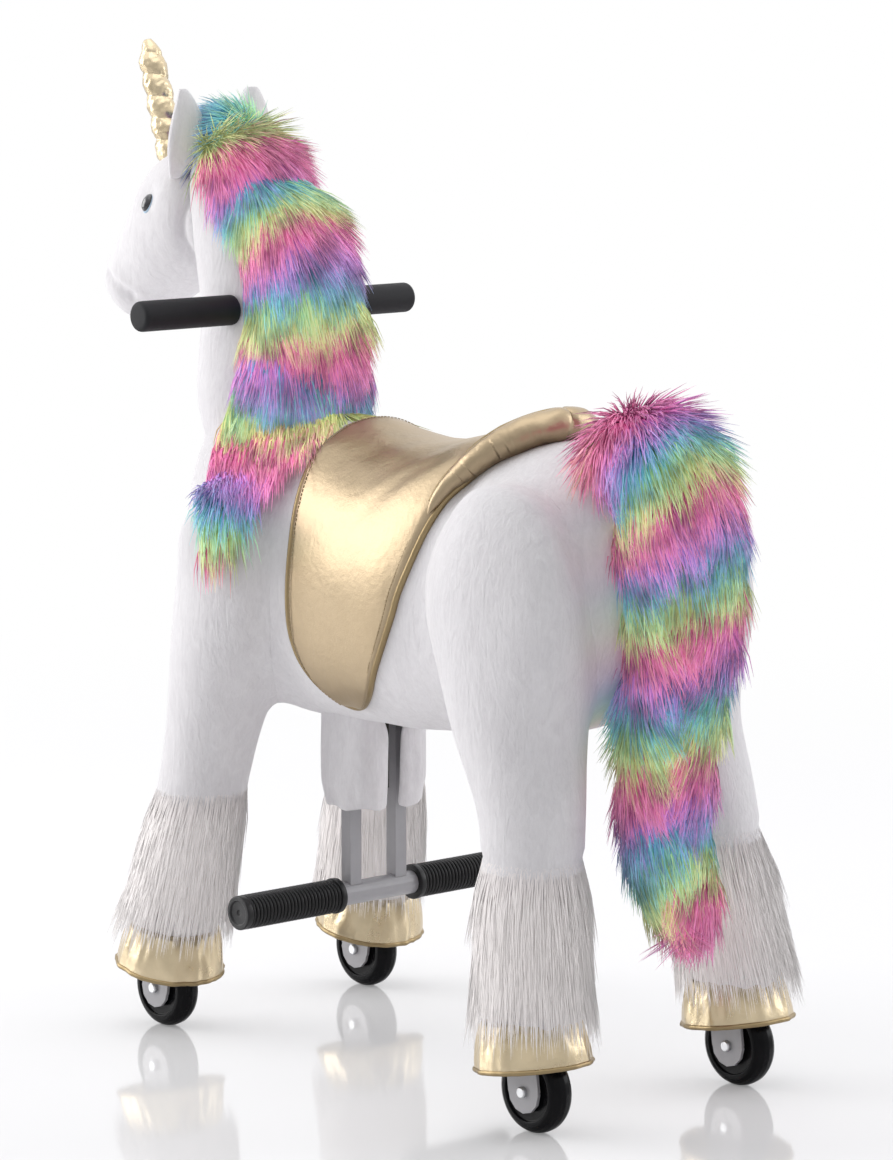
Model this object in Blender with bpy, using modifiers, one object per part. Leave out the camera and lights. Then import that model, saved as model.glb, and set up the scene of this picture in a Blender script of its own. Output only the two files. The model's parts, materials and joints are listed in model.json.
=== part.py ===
"""A child's ride-on unicorn that walks along when the rider posts on its stirrups.

A steel frame sits inside a stuffed body.  The front and the rear pair of legs
swing about two hip axles, and the stirrup bar slides up and down in guides and
draws the legs together through two links.  The head and neck turn with the
handlebar and steer the two front wheels.  Metres, +Z up, the animal faces -Y
and its left side is +X.
"""
import math

import bmesh
import bpy
from mathutils import Matrix, Vector

# Clearances
GAP = 0.0003            # between pieces that touch
RUN = 0.0006            # around a piece that turns or slides
SOFT_GAP = 0.0015       # round the drum that a stuffed leg turns on
SWING_GAP = 0.0040      # round a stuffed leg over the whole of its swing
SEAM_GAP = 0.0010       # under a stuffed piece sewn to another

# Standing on the floor
BODY_SHIFT = 0.0590     # mid wheelbase to the middle of the whole length
WHEEL_R = 0.040
WHEEL_W = 0.0254
WHEEL_STEPS = 24
HALF_BASE = 0.272       # mid wheelbase to each axle
HALF_TRACK = 0.130      # centre plane to each wheel
AXLE_Z = WHEEL_R * math.cos(math.pi / WHEEL_STEPS)

# Wheel, axle bolt and fork
AXLE_R = 0.004
HUB_R = 0.0125
HUB_RECESS = 0.002
BOLT_HEAD_R = 0.0055
BOLT_HEAD_H = 0.0036
CHEEK_T = 0.0032
CHEEK_W = 0.040
CROWN_W = 0.030
CROWN_T = 0.006
CROWN_LOW = WHEEL_R + 0.006
STEM_R = 0.009

# Leg frames
HIP_Z = 0.460
FRONT_HIP_Y = -0.190
REAR_HIP_Y = 0.215
LEG_TUBE_R = 0.014
LEG_TUBE_WALL = 0.0044
TUBE_ABOVE_HIP = 0.022
HIP_AXLE_R = 0.010
LUG_T = 0.008
LUG_R = 0.012
FRONT_LUG_REACH = 0.080
REAR_LUG_REACH = 0.0393
PIN_R = 0.004
PIN_L = 0.0075

# Stirrup
STIRRUP_Y = -0.107
STIRRUP_BAR_Z = 0.146
STIRRUP_BAR_R = 0.0115
STIRRUP_BAR_HALF = 0.168
STIRRUP_GRIP_R = 0.0155
STIRRUP_GRIP_IN = 0.048
STIRRUP_GRIP_OUT = 0.172
GRIP_FLANGE_R = 0.0175
GRIP_FLANGE_T = 0.006
ARM_X = 0.029
ARM_W = 0.014
ARM_TOP = 0.515
CROSSHEAD_Z = 0.355
CROSSHEAD_H = 0.030
CROSSHEAD_T = 0.008
LINK_T = 0.005
LINK_R = 0.009
SLOT = 0.006            # spare length of the slot at a link's leg end

# Body frame
BEAM_W = 0.030
BEAM_LOW = 0.530
BEAM_TOP = 0.560
BEAM_FRONT = -0.236
BEAM_REAR = 0.238
PLATE_X = 0.055
PLATE_T = 0.006
PLATE_W = 0.034
GUIDE_LOW = 0.440
GUIDE_WALL = 0.006

# Steering
STEER_Y = -0.255
COLUMN_R = 0.010
HEADSET_R = 0.018
COLLAR_H = 0.010
CLAMP_R = 0.016
CLAMP_H = 0.014
COLUMN_FOOT = 0.522
CRANK_T = 0.007
CRANK_REACH = 0.030
CRANK_PIN_DROP = 0.040
ARM_EYE_R = 0.015
ARM_EYE_H = 0.010
TIE_T = 0.005
TIE_W = 0.017
TIE_CLEAR = 0.0021
STEER_ROOM = 0.0215

# Handlebar
BAR_Z = 0.710
BAR_R = 0.011
BAR_HALF = 0.168
GRIP_R = 0.015
GRIP_IN = 0.0555
GRIP_OUT = 0.172

# Hoof cuffs
HOOF_RIM_R = 0.0535
HOOF_TOP_R = 0.043
HOOF_LOW = 0.022        # along the leg, above the axle
HOOF_TOP = 0.068
HOOF_WALL = 0.003

# Stuffed forms, as rings: x, y, z, half width, half depth, and tilt in degrees
HULL_POWER = 2.4        # 2 is an ellipse, more is squarer
STUFFING_WALL = 0.014
BODY_RINGS = (
    # y, half width, lowest, highest
    (-0.322, 0.050, 0.440, 0.578),
    (-0.300, 0.082, 0.375, 0.612),
    (-0.250, 0.098, 0.328, 0.622),
    (-0.180, 0.103, 0.312, 0.610),
    (-0.010, 0.125, 0.322, 0.579),
    (0.080, 0.121, 0.327, 0.596),
    (0.215, 0.100, 0.345, 0.623),
    (0.268, 0.086, 0.375, 0.602),
    (0.296, 0.052, 0.440, 0.555),
)
HIP_CORE_R = 0.118      # the legs turn round this drum of the rear body
SHOULDER_CORE_R = 0.090
CORE_HALF = 0.1003
NECK_SEAT = 0.604
NECK_SEAT_REACH = 0.145
FRONT_LEG_RINGS = (
    # x, y, z, half width, half depth
    (0.110, -0.188, 0.536, 0.018, 0.030),
    (0.110, -0.188, 0.512, 0.034, 0.054),
    (0.110, -0.189, 0.455, 0.047, 0.069),
    (0.106, -0.200, 0.395, 0.053, 0.066),
    (0.105, -0.218, 0.330, 0.048, 0.054),
    (0.112, -0.232, 0.260, 0.043, 0.044),
    (0.121, -0.252, 0.160, 0.054, 0.056),
    (0.130, -0.268, 0.070, 0.052, 0.054),
)
REAR_LEG_RINGS = (
    (0.104, 0.198, 0.576, 0.018, 0.036),
    (0.107, 0.200, 0.548, 0.038, 0.072),
    (0.110, 0.203, 0.480, 0.051, 0.095),
    (0.101, 0.207, 0.420, 0.058, 0.087),
    (0.093, 0.206, 0.360, 0.062, 0.067),
    (0.107, 0.238, 0.300, 0.050, 0.053),
    (0.113, 0.248, 0.260, 0.045, 0.046),
    (0.124, 0.261, 0.155, 0.054, 0.056),
    (0.130, 0.270, 0.070, 0.052, 0.054),
)
NECK_RINGS = (
    (0.0, -0.262, 0.6043, 0.077, 0.076, 0.0),
    (0.0, -0.263, 0.645, 0.071, 0.076, 0.0),
    (0.0, -0.270, 0.700, 0.058, 0.072, 0.0),
    (0.0, -0.282, 0.755, 0.057, 0.068, 0.0),
    (0.0, -0.300, 0.810, 0.056, 0.064, 0.0),
    (0.0, -0.315, 0.855, 0.048, 0.050, 0.0),
    (0.0, -0.318, 0.880, 0.026, 0.028, 0.0),
)
HEAD_RINGS = (
    (0.0, -0.318, 0.805, 0.040, 0.048, 120.0),
    (0.0, -0.345, 0.810, 0.058, 0.067, 120.0),
    (0.0, -0.386, 0.794, 0.061, 0.068, 121.0),
    (0.0, -0.418, 0.765, 0.053, 0.057, 123.0),
    (0.0, -0.446, 0.740, 0.046, 0.047, 126.0),
    (0.0, -0.469, 0.719, 0.045, 0.045, 128.0),
    (0.0, -0.489, 0.705, 0.033, 0.034, 130.0),
)
MANE_RINGS = (
    (0.0, -0.214, 0.613, 0.0735, 0.073, 0.0),
    (0.0, -0.210, 0.655, 0.070, 0.073, 0.0),
    (0.0, -0.208, 0.710, 0.061, 0.070, 0.0),
    (0.0, -0.226, 0.765, 0.058, 0.064, 0.0),
    (0.0, -0.259, 0.820, 0.054, 0.059, 0.0),
    (0.0, -0.295, 0.868, 0.049, 0.049, 0.0),
    (0.0, -0.314, 0.902, 0.026, 0.028, 0.0),
)
TAIL_RINGS = (
    (0.0, 0.215, 0.622, 0.034, 0.032, 100.0),
    (0.0, 0.252, 0.626, 0.050, 0.045, 80.0),
    (0.0, 0.303, 0.603, 0.056, 0.052, 45.0),
    (0.0, 0.333, 0.550, 0.056, 0.052, 15.0),
    (0.0, 0.338, 0.480, 0.053, 0.050, 0.0),
    (0.0, 0.325, 0.400, 0.051, 0.050, -5.0),
    (0.0, 0.309, 0.295, 0.045, 0.044, 0.0),
    (0.0, 0.323, 0.205, 0.036, 0.037, 12.0),
    (0.0, 0.337, 0.166, 0.020, 0.021, 15.0),
)
RING_SIDES = 8
BODY_SIDES = 10
CAGE_GROWTH = 1.081     # an eight sided cage shrinks by this when it is smoothed
BODY_GROWTH = 1.052     # and a ten sided one by this
CUTTER_GROWTH = 1 / math.cos(math.pi / 12)  # clears a round piece in a twelve sided bore

# Horn, ears and eyes
HORN_FOOT = (0.0, -0.414, 0.838)
HORN_TIP = (0.0, -0.458, 0.968)
HORN_R = 0.017
HORN_RIBS = 5
EAR_FOOT = (0.042, -0.349, 0.845)
EAR_H = 0.076
EAR_W = 0.034
EAR_D = 0.010
EAR_SPLAY = 12.0
EAR_SIDES = 6
EAR_GROWTH = 1.15
EYE_AT = (0.053, -0.393, 0.810)
EYE_R = 0.011

# Saddle and the sleeve round the stirrup arms
SADDLE_EDGES = (
    # degrees round the body from the top, then the y of the front and rear edges
    (0, -0.120, 0.176),
    (20, -0.113, 0.150),
    (40, -0.108, 0.106),
    (60, -0.100, 0.095),
    (80, -0.092, 0.083),
    (95, -0.095, 0.060),
    (108, -0.094, 0.038),
    (120, -0.080, 0.018),
    (130, -0.058, 0.000),
    (138, -0.036, -0.020),
)
SADDLE_PAD = (
    # share of the way from front to rear, then how full the padding is there
    (0.0, 0.45), (0.08, 0.9), (0.35, 1.0), (0.62, 1.0), (0.84, 1.7), (0.94, 1.6), (1.0, 0.5),
)
SEAT_T = 0.018
FLAP_T = 0.006
PAD_SWEEP = 66.0        # the padding thins out to the flap here
SLEEVE_X = 0.0460
SLEEVE_Y = 0.0340
SLEEVE_T = 0.0025
SLEEVE_LOW = 0.232
SLEEVE_TOP = 0.328
SLEEVE_SLIT = 0.002
BELLY_HOLE_X = 0.0475
BELLY_HOLE_FRONT = -0.1426
BELLY_HOLE_REAR = -0.035
SEAT_FRONT = -0.10
SEAT_REAR = 0.12

LEG_SWING = math.radians(10.0)

# Finishes: colour, roughness, metallic
FINISHES = {
    "white_plush": ((0.86, 0.85, 0.86), 0.95, 0.0),
    "rainbow_fur": ((0.80, 0.42, 0.68), 0.95, 0.0),
    "gold_leather": ((0.72, 0.55, 0.30), 0.35, 0.8),
    "black_foam": ((0.03, 0.03, 0.035), 0.75, 0.0),
    "black_rubber": ((0.03, 0.03, 0.03), 0.5, 0.0),
    "steel": ((0.62, 0.63, 0.65), 0.3, 1.0),
    "black_steel": ((0.05, 0.05, 0.055), 0.4, 0.6),
    "wheel_black": ((0.02, 0.02, 0.022), 0.2, 0.0),
    "eye_black": ((0.01, 0.01, 0.012), 0.05, 0.0),
}

X = Vector((1, 0, 0))
Z = Vector((0, 0, 1))
SIDEWAYS = Matrix(((0, 0, 1, 0), (1, 0, 0, 0), (0, 1, 0, 0), (0, 0, 0, 1)))


def start_clean():
    for old in list(bpy.data.objects):
        bpy.data.objects.remove(old, do_unlink=True)
    for group in list(bpy.data.collections):
        bpy.data.collections.remove(group)


def finish(name):
    found = bpy.data.materials.get(name)
    if found:
        return found
    colour, roughness, metallic = FINISHES[name]
    made = bpy.data.materials.new(name)
    made.use_nodes = True
    shader = made.node_tree.nodes["Principled BSDF"]
    shader.inputs["Base Color"].default_value = (*colour, 1.0)
    shader.inputs["Roughness"].default_value = roughness
    shader.inputs["Metallic"].default_value = metallic
    made.diffuse_color = (*colour, 1.0)
    return made


def collection(name):
    found = bpy.data.collections.get(name)
    if not found:
        found = bpy.data.collections.new(name)
        bpy.context.scene.collection.children.link(found)
    return found


def put(name, shape, look=None):
    """Link a mesh as a part, or as a hidden cutter where it has no finish."""
    mesh = bpy.data.meshes.new(name)
    if shape.faces:
        bmesh.ops.recalc_face_normals(shape, faces=shape.faces)
    shape.to_mesh(mesh)
    shape.free()
    made = bpy.data.objects.new(name, mesh)
    if look:
        mesh.materials.append(finish(look))
        collection("ride_on_unicorn").objects.link(made)
    else:
        made.hide_render = True
        made.display_type = "WIRE"
        collection("cutters").objects.link(made)
    return made


def change(target, other, operation):
    """Cut, join or keep the overlap of two solids."""
    step = target.modifiers.new(other.name, "BOOLEAN")
    step.operation = operation
    step.solver = "EXACT"
    step.object = other
    return target


def cut(target, *others):
    for other in others:
        change(target, other, "DIFFERENCE")
    return target


def join(target, *others):
    for other in others:
        change(target, other, "UNION")
    return target


def place(shape, matrix):
    bmesh.ops.transform(shape, matrix=matrix, verts=shape.verts)
    return shape


def aim(start, end):
    """A frame at start whose Z runs to end."""
    turn = (Vector(end) - Vector(start)).to_track_quat("Z", "Y").to_matrix().to_4x4()
    return Matrix.Translation(start) @ turn


def rod(name, start, end, radius, look=None, sides=16, far_radius=None):
    """A cylinder or cone between two points."""
    length = (Vector(end) - Vector(start)).length
    shape = bmesh.new()
    bmesh.ops.create_cone(
        shape, cap_ends=True, segments=sides, radius1=radius,
        radius2=radius if far_radius is None else far_radius, depth=length,
        matrix=aim(start, end) @ Matrix.Translation((0, 0, length / 2)))
    return put(name, shape, look)


def block(name, low, high, look=None, frame=None):
    """A box between two corners, in a frame of its own where one is given."""
    low, high = Vector(low), Vector(high)
    shape = bmesh.new()
    bmesh.ops.create_cube(
        shape, size=1.0,
        matrix=Matrix.Translation((low + high) / 2) @ Matrix.Diagonal((*(high - low), 1)))
    if frame:
        place(shape, frame)
    return put(name, shape, look)


def slab(name, outline, low, high, frame, look=None):
    """A flat plate: an outline in a frame's XY, from low to high along its Z."""
    shape = bmesh.new()
    floor = [shape.verts.new((x, y, low)) for x, y in outline]
    roof = [shape.verts.new((x, y, high)) for x, y in outline]
    for k in range(len(outline)):
        n = (k + 1) % len(outline)
        shape.faces.new((floor[k], floor[n], roof[n], roof[k]))
    shape.faces.new(floor)
    shape.faces.new(roof)
    return put(name, place(shape, frame), look)


def bar_outline(start, end, near_r, far_r, steps=6):
    """A bar with round ends along Y, from start to end."""
    points = []
    for at, radius, first in ((end, far_r, 0.0), (start, near_r, math.pi)):
        for k in range(steps + 1):
            angle = first + math.pi * k / steps
            points.append((radius * math.cos(angle), at + radius * math.sin(angle)))
    return points


def ball(name, centre, radii, look=None, turn=None):
    shape = bmesh.new()
    bmesh.ops.create_uvsphere(shape, u_segments=12, v_segments=8, radius=1.0)
    place(shape, Matrix.Diagonal((*radii, 1)))
    if turn:
        place(shape, turn)
    place(shape, Matrix.Translation(centre))
    return put(name, shape, look)


def turned(name, profile, frame, look=None, steps=WHEEL_STEPS, ring=False):
    """Spin a profile of (radius, height) points, listed down the outer side."""
    shape = bmesh.new()
    made = [shape.verts.new((r, 0, h)) for r, h in profile]
    ends = made + made[:1] if ring else made
    for here, there in zip(ends, ends[1:]):
        shape.edges.new((here, there))
    made = put(name, shape, look)
    made.matrix_world = frame
    spin = made.modifiers.new("turn", "SCREW")
    spin.steps = spin.render_steps = steps
    spin.use_merge_vertices = True
    spin.merge_threshold = 0.00001
    return made


def smooth(target):
    for face in target.data.polygons:
        face.use_smooth = True
    return target


def power_curve(angle, power):
    """A point on a rounded square, from an ellipse at power 2."""
    c, s = math.cos(angle), math.sin(angle)
    return (math.copysign(abs(c) ** (2 / power), c), math.copysign(abs(s) ** (2 / power), s))


def stuffed(name, rings, look=None, sides=RING_SIDES, growth=CAGE_GROWTH, power=2.0,
            grow=0.0, flat_foot=False, turn=None, rounds=1):
    """A stuffed form: a coarse cage of rings, smoothed, that grow swells all round."""
    shape = bmesh.new()
    crease = shape.edges.layers.float.new("crease_edge")
    centres = [Vector(ring[:3]) for ring in rings]
    first_out = (centres[0] - centres[1]).normalized() * grow
    last_out = (centres[-1] - centres[-2]).normalized() * grow
    centres[0] += first_out
    centres[-1] += last_out
    loops = []
    for centre, (half_w, half_d, tilt) in zip(centres, [ring[3:] for ring in rings]):
        deep = Vector((0, math.cos(math.radians(tilt)), math.sin(math.radians(tilt))))
        loop = []
        for k in range(sides):
            c, s = power_curve(2 * math.pi * (k + 0.5) / sides, power)
            across = X * c * (half_w * growth + grow) + deep * s * (half_d * growth + grow)
            loop.append(shape.verts.new(centre + across))
        loops.append(loop)
    for lower, upper in zip(loops, loops[1:]):
        for k in range(sides):
            n = (k + 1) % sides
            shape.faces.new((lower[k], lower[n], upper[n], upper[k]))
    for loop in (loops[0], loops[-1]):
        cap = shape.faces.new(loop)
        if flat_foot and loop is loops[0]:
            for edge in cap.edges:
                edge[crease] = 1.0
    if turn:
        place(shape, turn)
    made = put(name, shape, look)
    step = made.modifiers.new("stuffing", "SUBSURF")
    step.levels = step.render_levels = rounds
    return smooth(made)


def hip(front):
    return Vector((0, FRONT_HIP_Y if front else REAR_HIP_Y, HIP_Z))


def axle(front):
    return Vector((0, -HALF_BASE if front else HALF_BASE, AXLE_Z))


def leg_frame(front, side):
    """A frame at the wheel's centre, with Z along the leg's tube to the hip."""
    foot = axle(front) + X * HALF_TRACK * side
    top = hip(front) + X * HALF_TRACK * side
    lean = math.atan2(-(top - foot).y, (top - foot).z)
    return Matrix.Translation(foot) @ Matrix.Rotation(lean, 4, "X")


def leg_length(front):
    return (hip(front) - axle(front)).length


def across_wheel(frame):
    """The leg's frame with Z laid along the axle."""
    return frame @ Matrix.Rotation(math.pi / 2, 4, "Y")


def side_name(side):
    return "left" if side > 0 else "right"


def make_wheel(front, side):
    name = f"{'front' if front else 'rear'}_wheel_{side_name(side)}"
    half = WHEEL_W / 2
    tread = [math.radians(a) for a in (90, 55, 12, -12, -55, -90)]
    flat = math.cos(tread[2])
    crown = [(WHEEL_R - half * (flat - math.cos(a)), half * math.sin(a)) for a in tread]
    dish = [(AXLE_R + RUN, half), (HUB_R, half - HUB_RECESS)]
    profile = dish + crown + [(r, -h) for r, h in reversed(dish)]
    flat_down = Matrix.Rotation(math.pi / WHEEL_STEPS, 4, "Z")
    upright = Matrix.Translation(axle(front) + X * HALF_TRACK * side)
    wheel = turned(name, profile, upright @ Matrix.Rotation(math.pi / 2, 4, "Y") @ flat_down,
                   "wheel_black", ring=True)
    bolt_half = half + RUN + CHEEK_T + GAP
    head = bolt_half + BOLT_HEAD_H
    bolt = [(0, head), (BOLT_HEAD_R * 0.8, head), (BOLT_HEAD_R, head - 0.001),
            (BOLT_HEAD_R, bolt_half), (AXLE_R, bolt_half)]
    profile = bolt + [(r, -h) for r, h in reversed(bolt)]
    turned(f"{'front' if front else 'rear'}_axle_bolt_{side_name(side)}", profile,
           across_wheel(leg_frame(front, side)), "steel", steps=12)
    return wheel


def make_fork(front, side):
    """The cheeks, crown and stem that carry a wheel; a front stem turns in its leg."""
    pair = "front" if front else "rear"
    name = f"{pair}_fork_{side_name(side)}"
    frame = leg_frame(front, side)
    inner = WHEEL_W / 2 + RUN
    outer = inner + CHEEK_T
    crown_top = CROWN_LOW + CROWN_T
    fork = block(name, (-outer, -CROWN_W / 2, CROWN_LOW), (outer, CROWN_W / 2, crown_top),
                 "steel", frame)
    parts = []
    for hand in (-1, 1):
        low, high = sorted((inner * hand, outer * hand))
        parts.append(block(f"{name}_cheek_{hand}", (low, -CHEEK_W / 2, 0),
                           (high, CHEEK_W / 2, crown_top - GAP), frame=frame))
        parts.append(rod(f"{name}_eye_{hand}", frame @ Vector((low, 0, 0)),
                         frame @ Vector((high, 0, 0)), CHEEK_W / 2, sides=12))
    stem_end = leg_length(front) + TUBE_ABOVE_HIP + ARM_EYE_H + GAP * 2 if front else 0.110
    parts.append(rod(f"{name}_stem", frame @ Vector((0, 0, crown_top - GAP)),
                     frame @ Vector((0, 0, stem_end)), STEM_R, sides=12))
    join(fork, *parts)
    bore = rod(f"{name}_bore", frame @ Vector((-outer * 2, 0, 0)),
               frame @ Vector((outer * 2, 0, 0)), AXLE_R + GAP)
    return cut(fork, bore)


def make_leg_tube(front, side):
    name = f"{'front' if front else 'rear'}_leg_tube_{side_name(side)}"
    low = CROWN_LOW + CROWN_T + GAP
    high = leg_length(front) + TUBE_ABOVE_HIP
    inner = LEG_TUBE_R - LEG_TUBE_WALL
    profile = [(inner, high), (LEG_TUBE_R, high), (LEG_TUBE_R, low), (inner, low)]
    return turned(name, profile, leg_frame(front, side), "steel", steps=16, ring=True)


def make_hip_axle(front):
    """The cross axle of a pair of legs, with the lug that its link pulls."""
    pair = "front" if front else "rear"
    centre = hip(front)
    half = HALF_TRACK - LEG_TUBE_R - GAP
    lug_end = lug_point(front)
    hand = 1 if front else -1
    axle_rod = rod(f"{pair}_hip_axle", centre - X * half, centre + X * half, HIP_AXLE_R, "steel")
    plate = block(f"{pair}_lug_plate", (-LUG_T / 2, centre.y - LUG_R, lug_end.z),
                  (LUG_T / 2, centre.y + LUG_R, centre.z))
    boss = rod(f"{pair}_lug_boss", lug_end - X * LUG_T / 2, lug_end + X * LUG_T / 2, LUG_R)
    pin = rod(f"{pair}_lug_pin", lug_end, lug_end + X * (LUG_T / 2 + PIN_L) * hand, PIN_R)
    return join(axle_rod, plate, boss, pin)


def lug_point(front):
    return hip(front) - Z * (FRONT_LUG_REACH if front else REAR_LUG_REACH)


def make_link(front):
    """A flat bar from the crosshead's pin to a leg's lug, slotted at the lug."""
    name = "front_link" if front else "rear_link"
    hand = 1 if front else -1
    near = Vector((0, STIRRUP_Y, CROSSHEAD_Z))
    run = lug_point(front) - near
    length = run.length
    lean = Matrix.Rotation(math.atan2(-run.y, run.z), 4, "X")
    frame = Matrix.Translation(near) @ lean @ SIDEWAYS
    low, high = sorted(((LUG_T / 2 + RUN) * hand, (LUG_T / 2 + RUN + LINK_T) * hand))
    link = slab(name, bar_outline(0, length, LINK_R, LINK_R), low, high, frame, "black_steel")
    wide = PIN_R + GAP
    eye = rod(f"{name}_eye", frame @ Vector((0, 0, low - 0.01)),
              frame @ Vector((0, 0, high + 0.01)), wide)
    slot = slab(f"{name}_slot", bar_outline(length - SLOT / 2, length + SLOT / 2, wide, wide),
                low - 0.01, high + 0.01, frame)
    return cut(link, eye, slot)


def tie_levels():
    """Heights along the leg of the steering arms and of the tie rod on them."""
    low = leg_length(True) + TUBE_ABOVE_HIP + GAP
    base = low + ARM_EYE_H + RUN
    return low, low + ARM_EYE_H, base, base + TIE_T


def make_front_steering():
    """Arms on the two stems, a tie rod across them, and its slotted tongue."""
    low, high, base, top = tie_levels()
    for side in (-1, 1):
        frame = leg_frame(True, side)
        name = f"steering_arm_{side_name(side)}"
        arm = slab(name, bar_outline(-CRANK_REACH, 0, TIE_W / 2, ARM_EYE_R), low, high, frame, "steel")
        join(arm, rod(f"{name}_pin", frame @ Vector((0, -CRANK_REACH, low + RUN)),
                      frame @ Vector((0, -CRANK_REACH, top + RUN)), PIN_R, sides=12))
        cut(arm, rod(f"{name}_bore", frame @ Vector((0, 0, low - 0.01)),
                     frame @ Vector((0, 0, high + 0.01)), STEM_R + GAP))
    middle = leg_frame(True, 0)
    across = middle @ Matrix.Translation((0, -CRANK_REACH, 0)) @ Matrix.Rotation(math.pi / 2, 4, "Z")
    tie = slab("tie_rod", bar_outline(-HALF_TRACK, HALF_TRACK, TIE_W / 2, TIE_W / 2), base, top,
               across, "steel")
    pin_y = tongue_pin()
    half = TIE_W / 2 - GAP
    join(tie, slab("tie_rod_tongue", bar_outline(pin_y - 0.006, -CRANK_REACH, half, half),
                   base + GAP, top - GAP, middle))
    for side in (-1, 1):
        frame = leg_frame(True, side)
        cut(tie, rod(f"tie_rod_hole_{side}", frame @ Vector((0, -CRANK_REACH, base - 0.01)),
                     frame @ Vector((0, -CRANK_REACH, top + 0.01)), PIN_R + TIE_CLEAR))
    slot = slab("tie_rod_slot", bar_outline(pin_y - 0.003, pin_y + 0.013, PIN_R + RUN, PIN_R + RUN),
                base - 0.01, top + 0.01, middle)
    return cut(tie, slot)


def tongue_pin():
    """Where the crank's pin meets the tie rod, along the leg frame's Y."""
    base = tie_levels()[2]
    start = leg_frame(True, 0) @ Vector((0, 0, base))
    lean = math.atan2(FRONT_HIP_Y + HALF_BASE, HIP_Z - AXLE_Z)
    return -(start.y - (STEER_Y - CRANK_REACH)) / math.cos(lean)


def make_steering_column():
    """The column that the handlebar turns, with the crank that moves the tie rod."""
    top = BAR_Z - BAR_R - GAP
    clamp = top - CLAMP_H
    collar_low = BEAM_TOP + RUN
    collar_top = collar_low + COLLAR_H
    foot = COLUMN_FOOT + GAP
    profile = [(0, top), (CLAMP_R, top), (CLAMP_R, clamp), (COLUMN_R, clamp), (COLUMN_R, collar_top),
               (HEADSET_R, collar_top), (HEADSET_R, collar_low), (COLUMN_R, collar_low),
               (COLUMN_R, foot), (0, foot)]
    upright = Matrix.Translation((0, STEER_Y, 0))
    column = turned("steering_column", profile, upright, "steel", steps=16)
    half = TIE_W / 2 - GAP
    crank = slab("column_crank", bar_outline(-CRANK_REACH, 0, half, half),
                 COLUMN_FOOT, COLUMN_FOOT + CRANK_T, upright)
    tip = Vector((0, STEER_Y - CRANK_REACH, COLUMN_FOOT))
    pin = rod("column_crank_pin", tip - Z * CRANK_PIN_DROP, tip + Z * CRANK_T / 2, PIN_R)
    return join(column, crank, pin)


def make_frame():
    """The beam under the seat, its hip plates, the steering head and the guides."""
    half = BEAM_W / 2
    beam = block("main_frame", (-half, BEAM_FRONT, BEAM_LOW), (half, BEAM_REAR, BEAM_TOP), "black_steel")
    parts = [rod("frame_head", (0, STEER_Y, BEAM_LOW + CRANK_T + RUN), (0, STEER_Y, BEAM_TOP),
                 HEADSET_R + 0.004)]
    wide = PLATE_X + PLATE_T
    for front in (True, False):
        centre = hip(front)
        near, far = centre.y - PLATE_W / 2 + 0.012, centre.y + PLATE_W / 2
        parts.append(block(f"frame_shelf_{front}", (-wide, near, BEAM_LOW + GAP),
                           (wide, far, BEAM_LOW + 0.008)))
        for side in (-1, 1):
            low, high = sorted((PLATE_X * side, wide * side))
            parts.append(block(f"hip_plate_{front}_{side}", (low, near, centre.z),
                               (high, far, BEAM_LOW + 0.004)))
            parts.append(rod(f"hip_eye_{front}_{side}", centre + X * low, centre + X * high, PLATE_W / 2))
    join(beam, *parts)
    for front in (True, False):
        centre = hip(front)
        cut(beam, rod(f"hip_bore_{front}", centre - X * wide * 1.2, centre + X * wide * 1.2,
                      HIP_AXLE_R + RUN))
    return cut(beam, rod("head_bore", (0, STEER_Y, BEAM_LOW - 0.02), (0, STEER_Y, BEAM_TOP + 0.02),
                         COLUMN_R + RUN))


def make_guides():
    """Two square guides, joined in one block, that the stirrup arms slide in."""
    half_x = ARM_X + ARM_W / 2 + GUIDE_WALL
    half_y = ARM_W / 2 + GUIDE_WALL
    guide = block("stirrup_guide", (-half_x, STIRRUP_Y - half_y, GUIDE_LOW),
                  (half_x, STIRRUP_Y + half_y, BEAM_LOW - GAP), "black_steel")
    wide = ARM_W / 2 + RUN / 2
    for side in (-1, 1):
        middle = ARM_X * side
        cut(guide, block(f"guide_bore_{side}", (middle - wide, STIRRUP_Y - wide, GUIDE_LOW - 0.01),
                         (middle + wide, STIRRUP_Y + wide, BEAM_LOW + 0.01)))
    return guide


def make_stirrup():
    """Arms, crosshead and pins in one piece, on a cross bar with two rubber grips."""
    half = ARM_W / 2
    foot = STIRRUP_BAR_Z
    frame = block("stirrup_arms", (-ARM_X - half, STIRRUP_Y - half, foot),
                  (-ARM_X + half, STIRRUP_Y + half, ARM_TOP), "steel")
    other = block("stirrup_arm_2", (ARM_X - half, STIRRUP_Y - half, foot),
                  (ARM_X + half, STIRRUP_Y + half, ARM_TOP))
    head = block("crosshead", (-ARM_X, STIRRUP_Y - half + GAP, CROSSHEAD_Z - CROSSHEAD_H / 2),
                 (ARM_X, STIRRUP_Y + half - GAP, CROSSHEAD_Z + CROSSHEAD_H / 2))
    room = LUG_T / 2 + RUN * 2 + LINK_T
    pockets = []
    for side in (-1, 1):
        low, high = sorted((CROSSHEAD_T / 2 * side, (room + 0.004) * side))
        pockets.append(block(f"crosshead_pocket_{side}", (low, STIRRUP_Y - 0.03, CROSSHEAD_Z - 0.03),
                             (high, STIRRUP_Y + 0.03, CROSSHEAD_Z + 0.03)))
    pin = rod("crosshead_pin", (-ARM_X, STIRRUP_Y, CROSSHEAD_Z), (ARM_X, STIRRUP_Y, CROSSHEAD_Z), PIN_R)
    join(cut(head, *pockets), pin)
    join(frame, other, head)
    return cut(frame, rod("stirrup_bar_hole", (-0.1, STIRRUP_Y, foot), (0.1, STIRRUP_Y, foot),
                          STIRRUP_BAR_R + GAP, sides=24))


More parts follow.
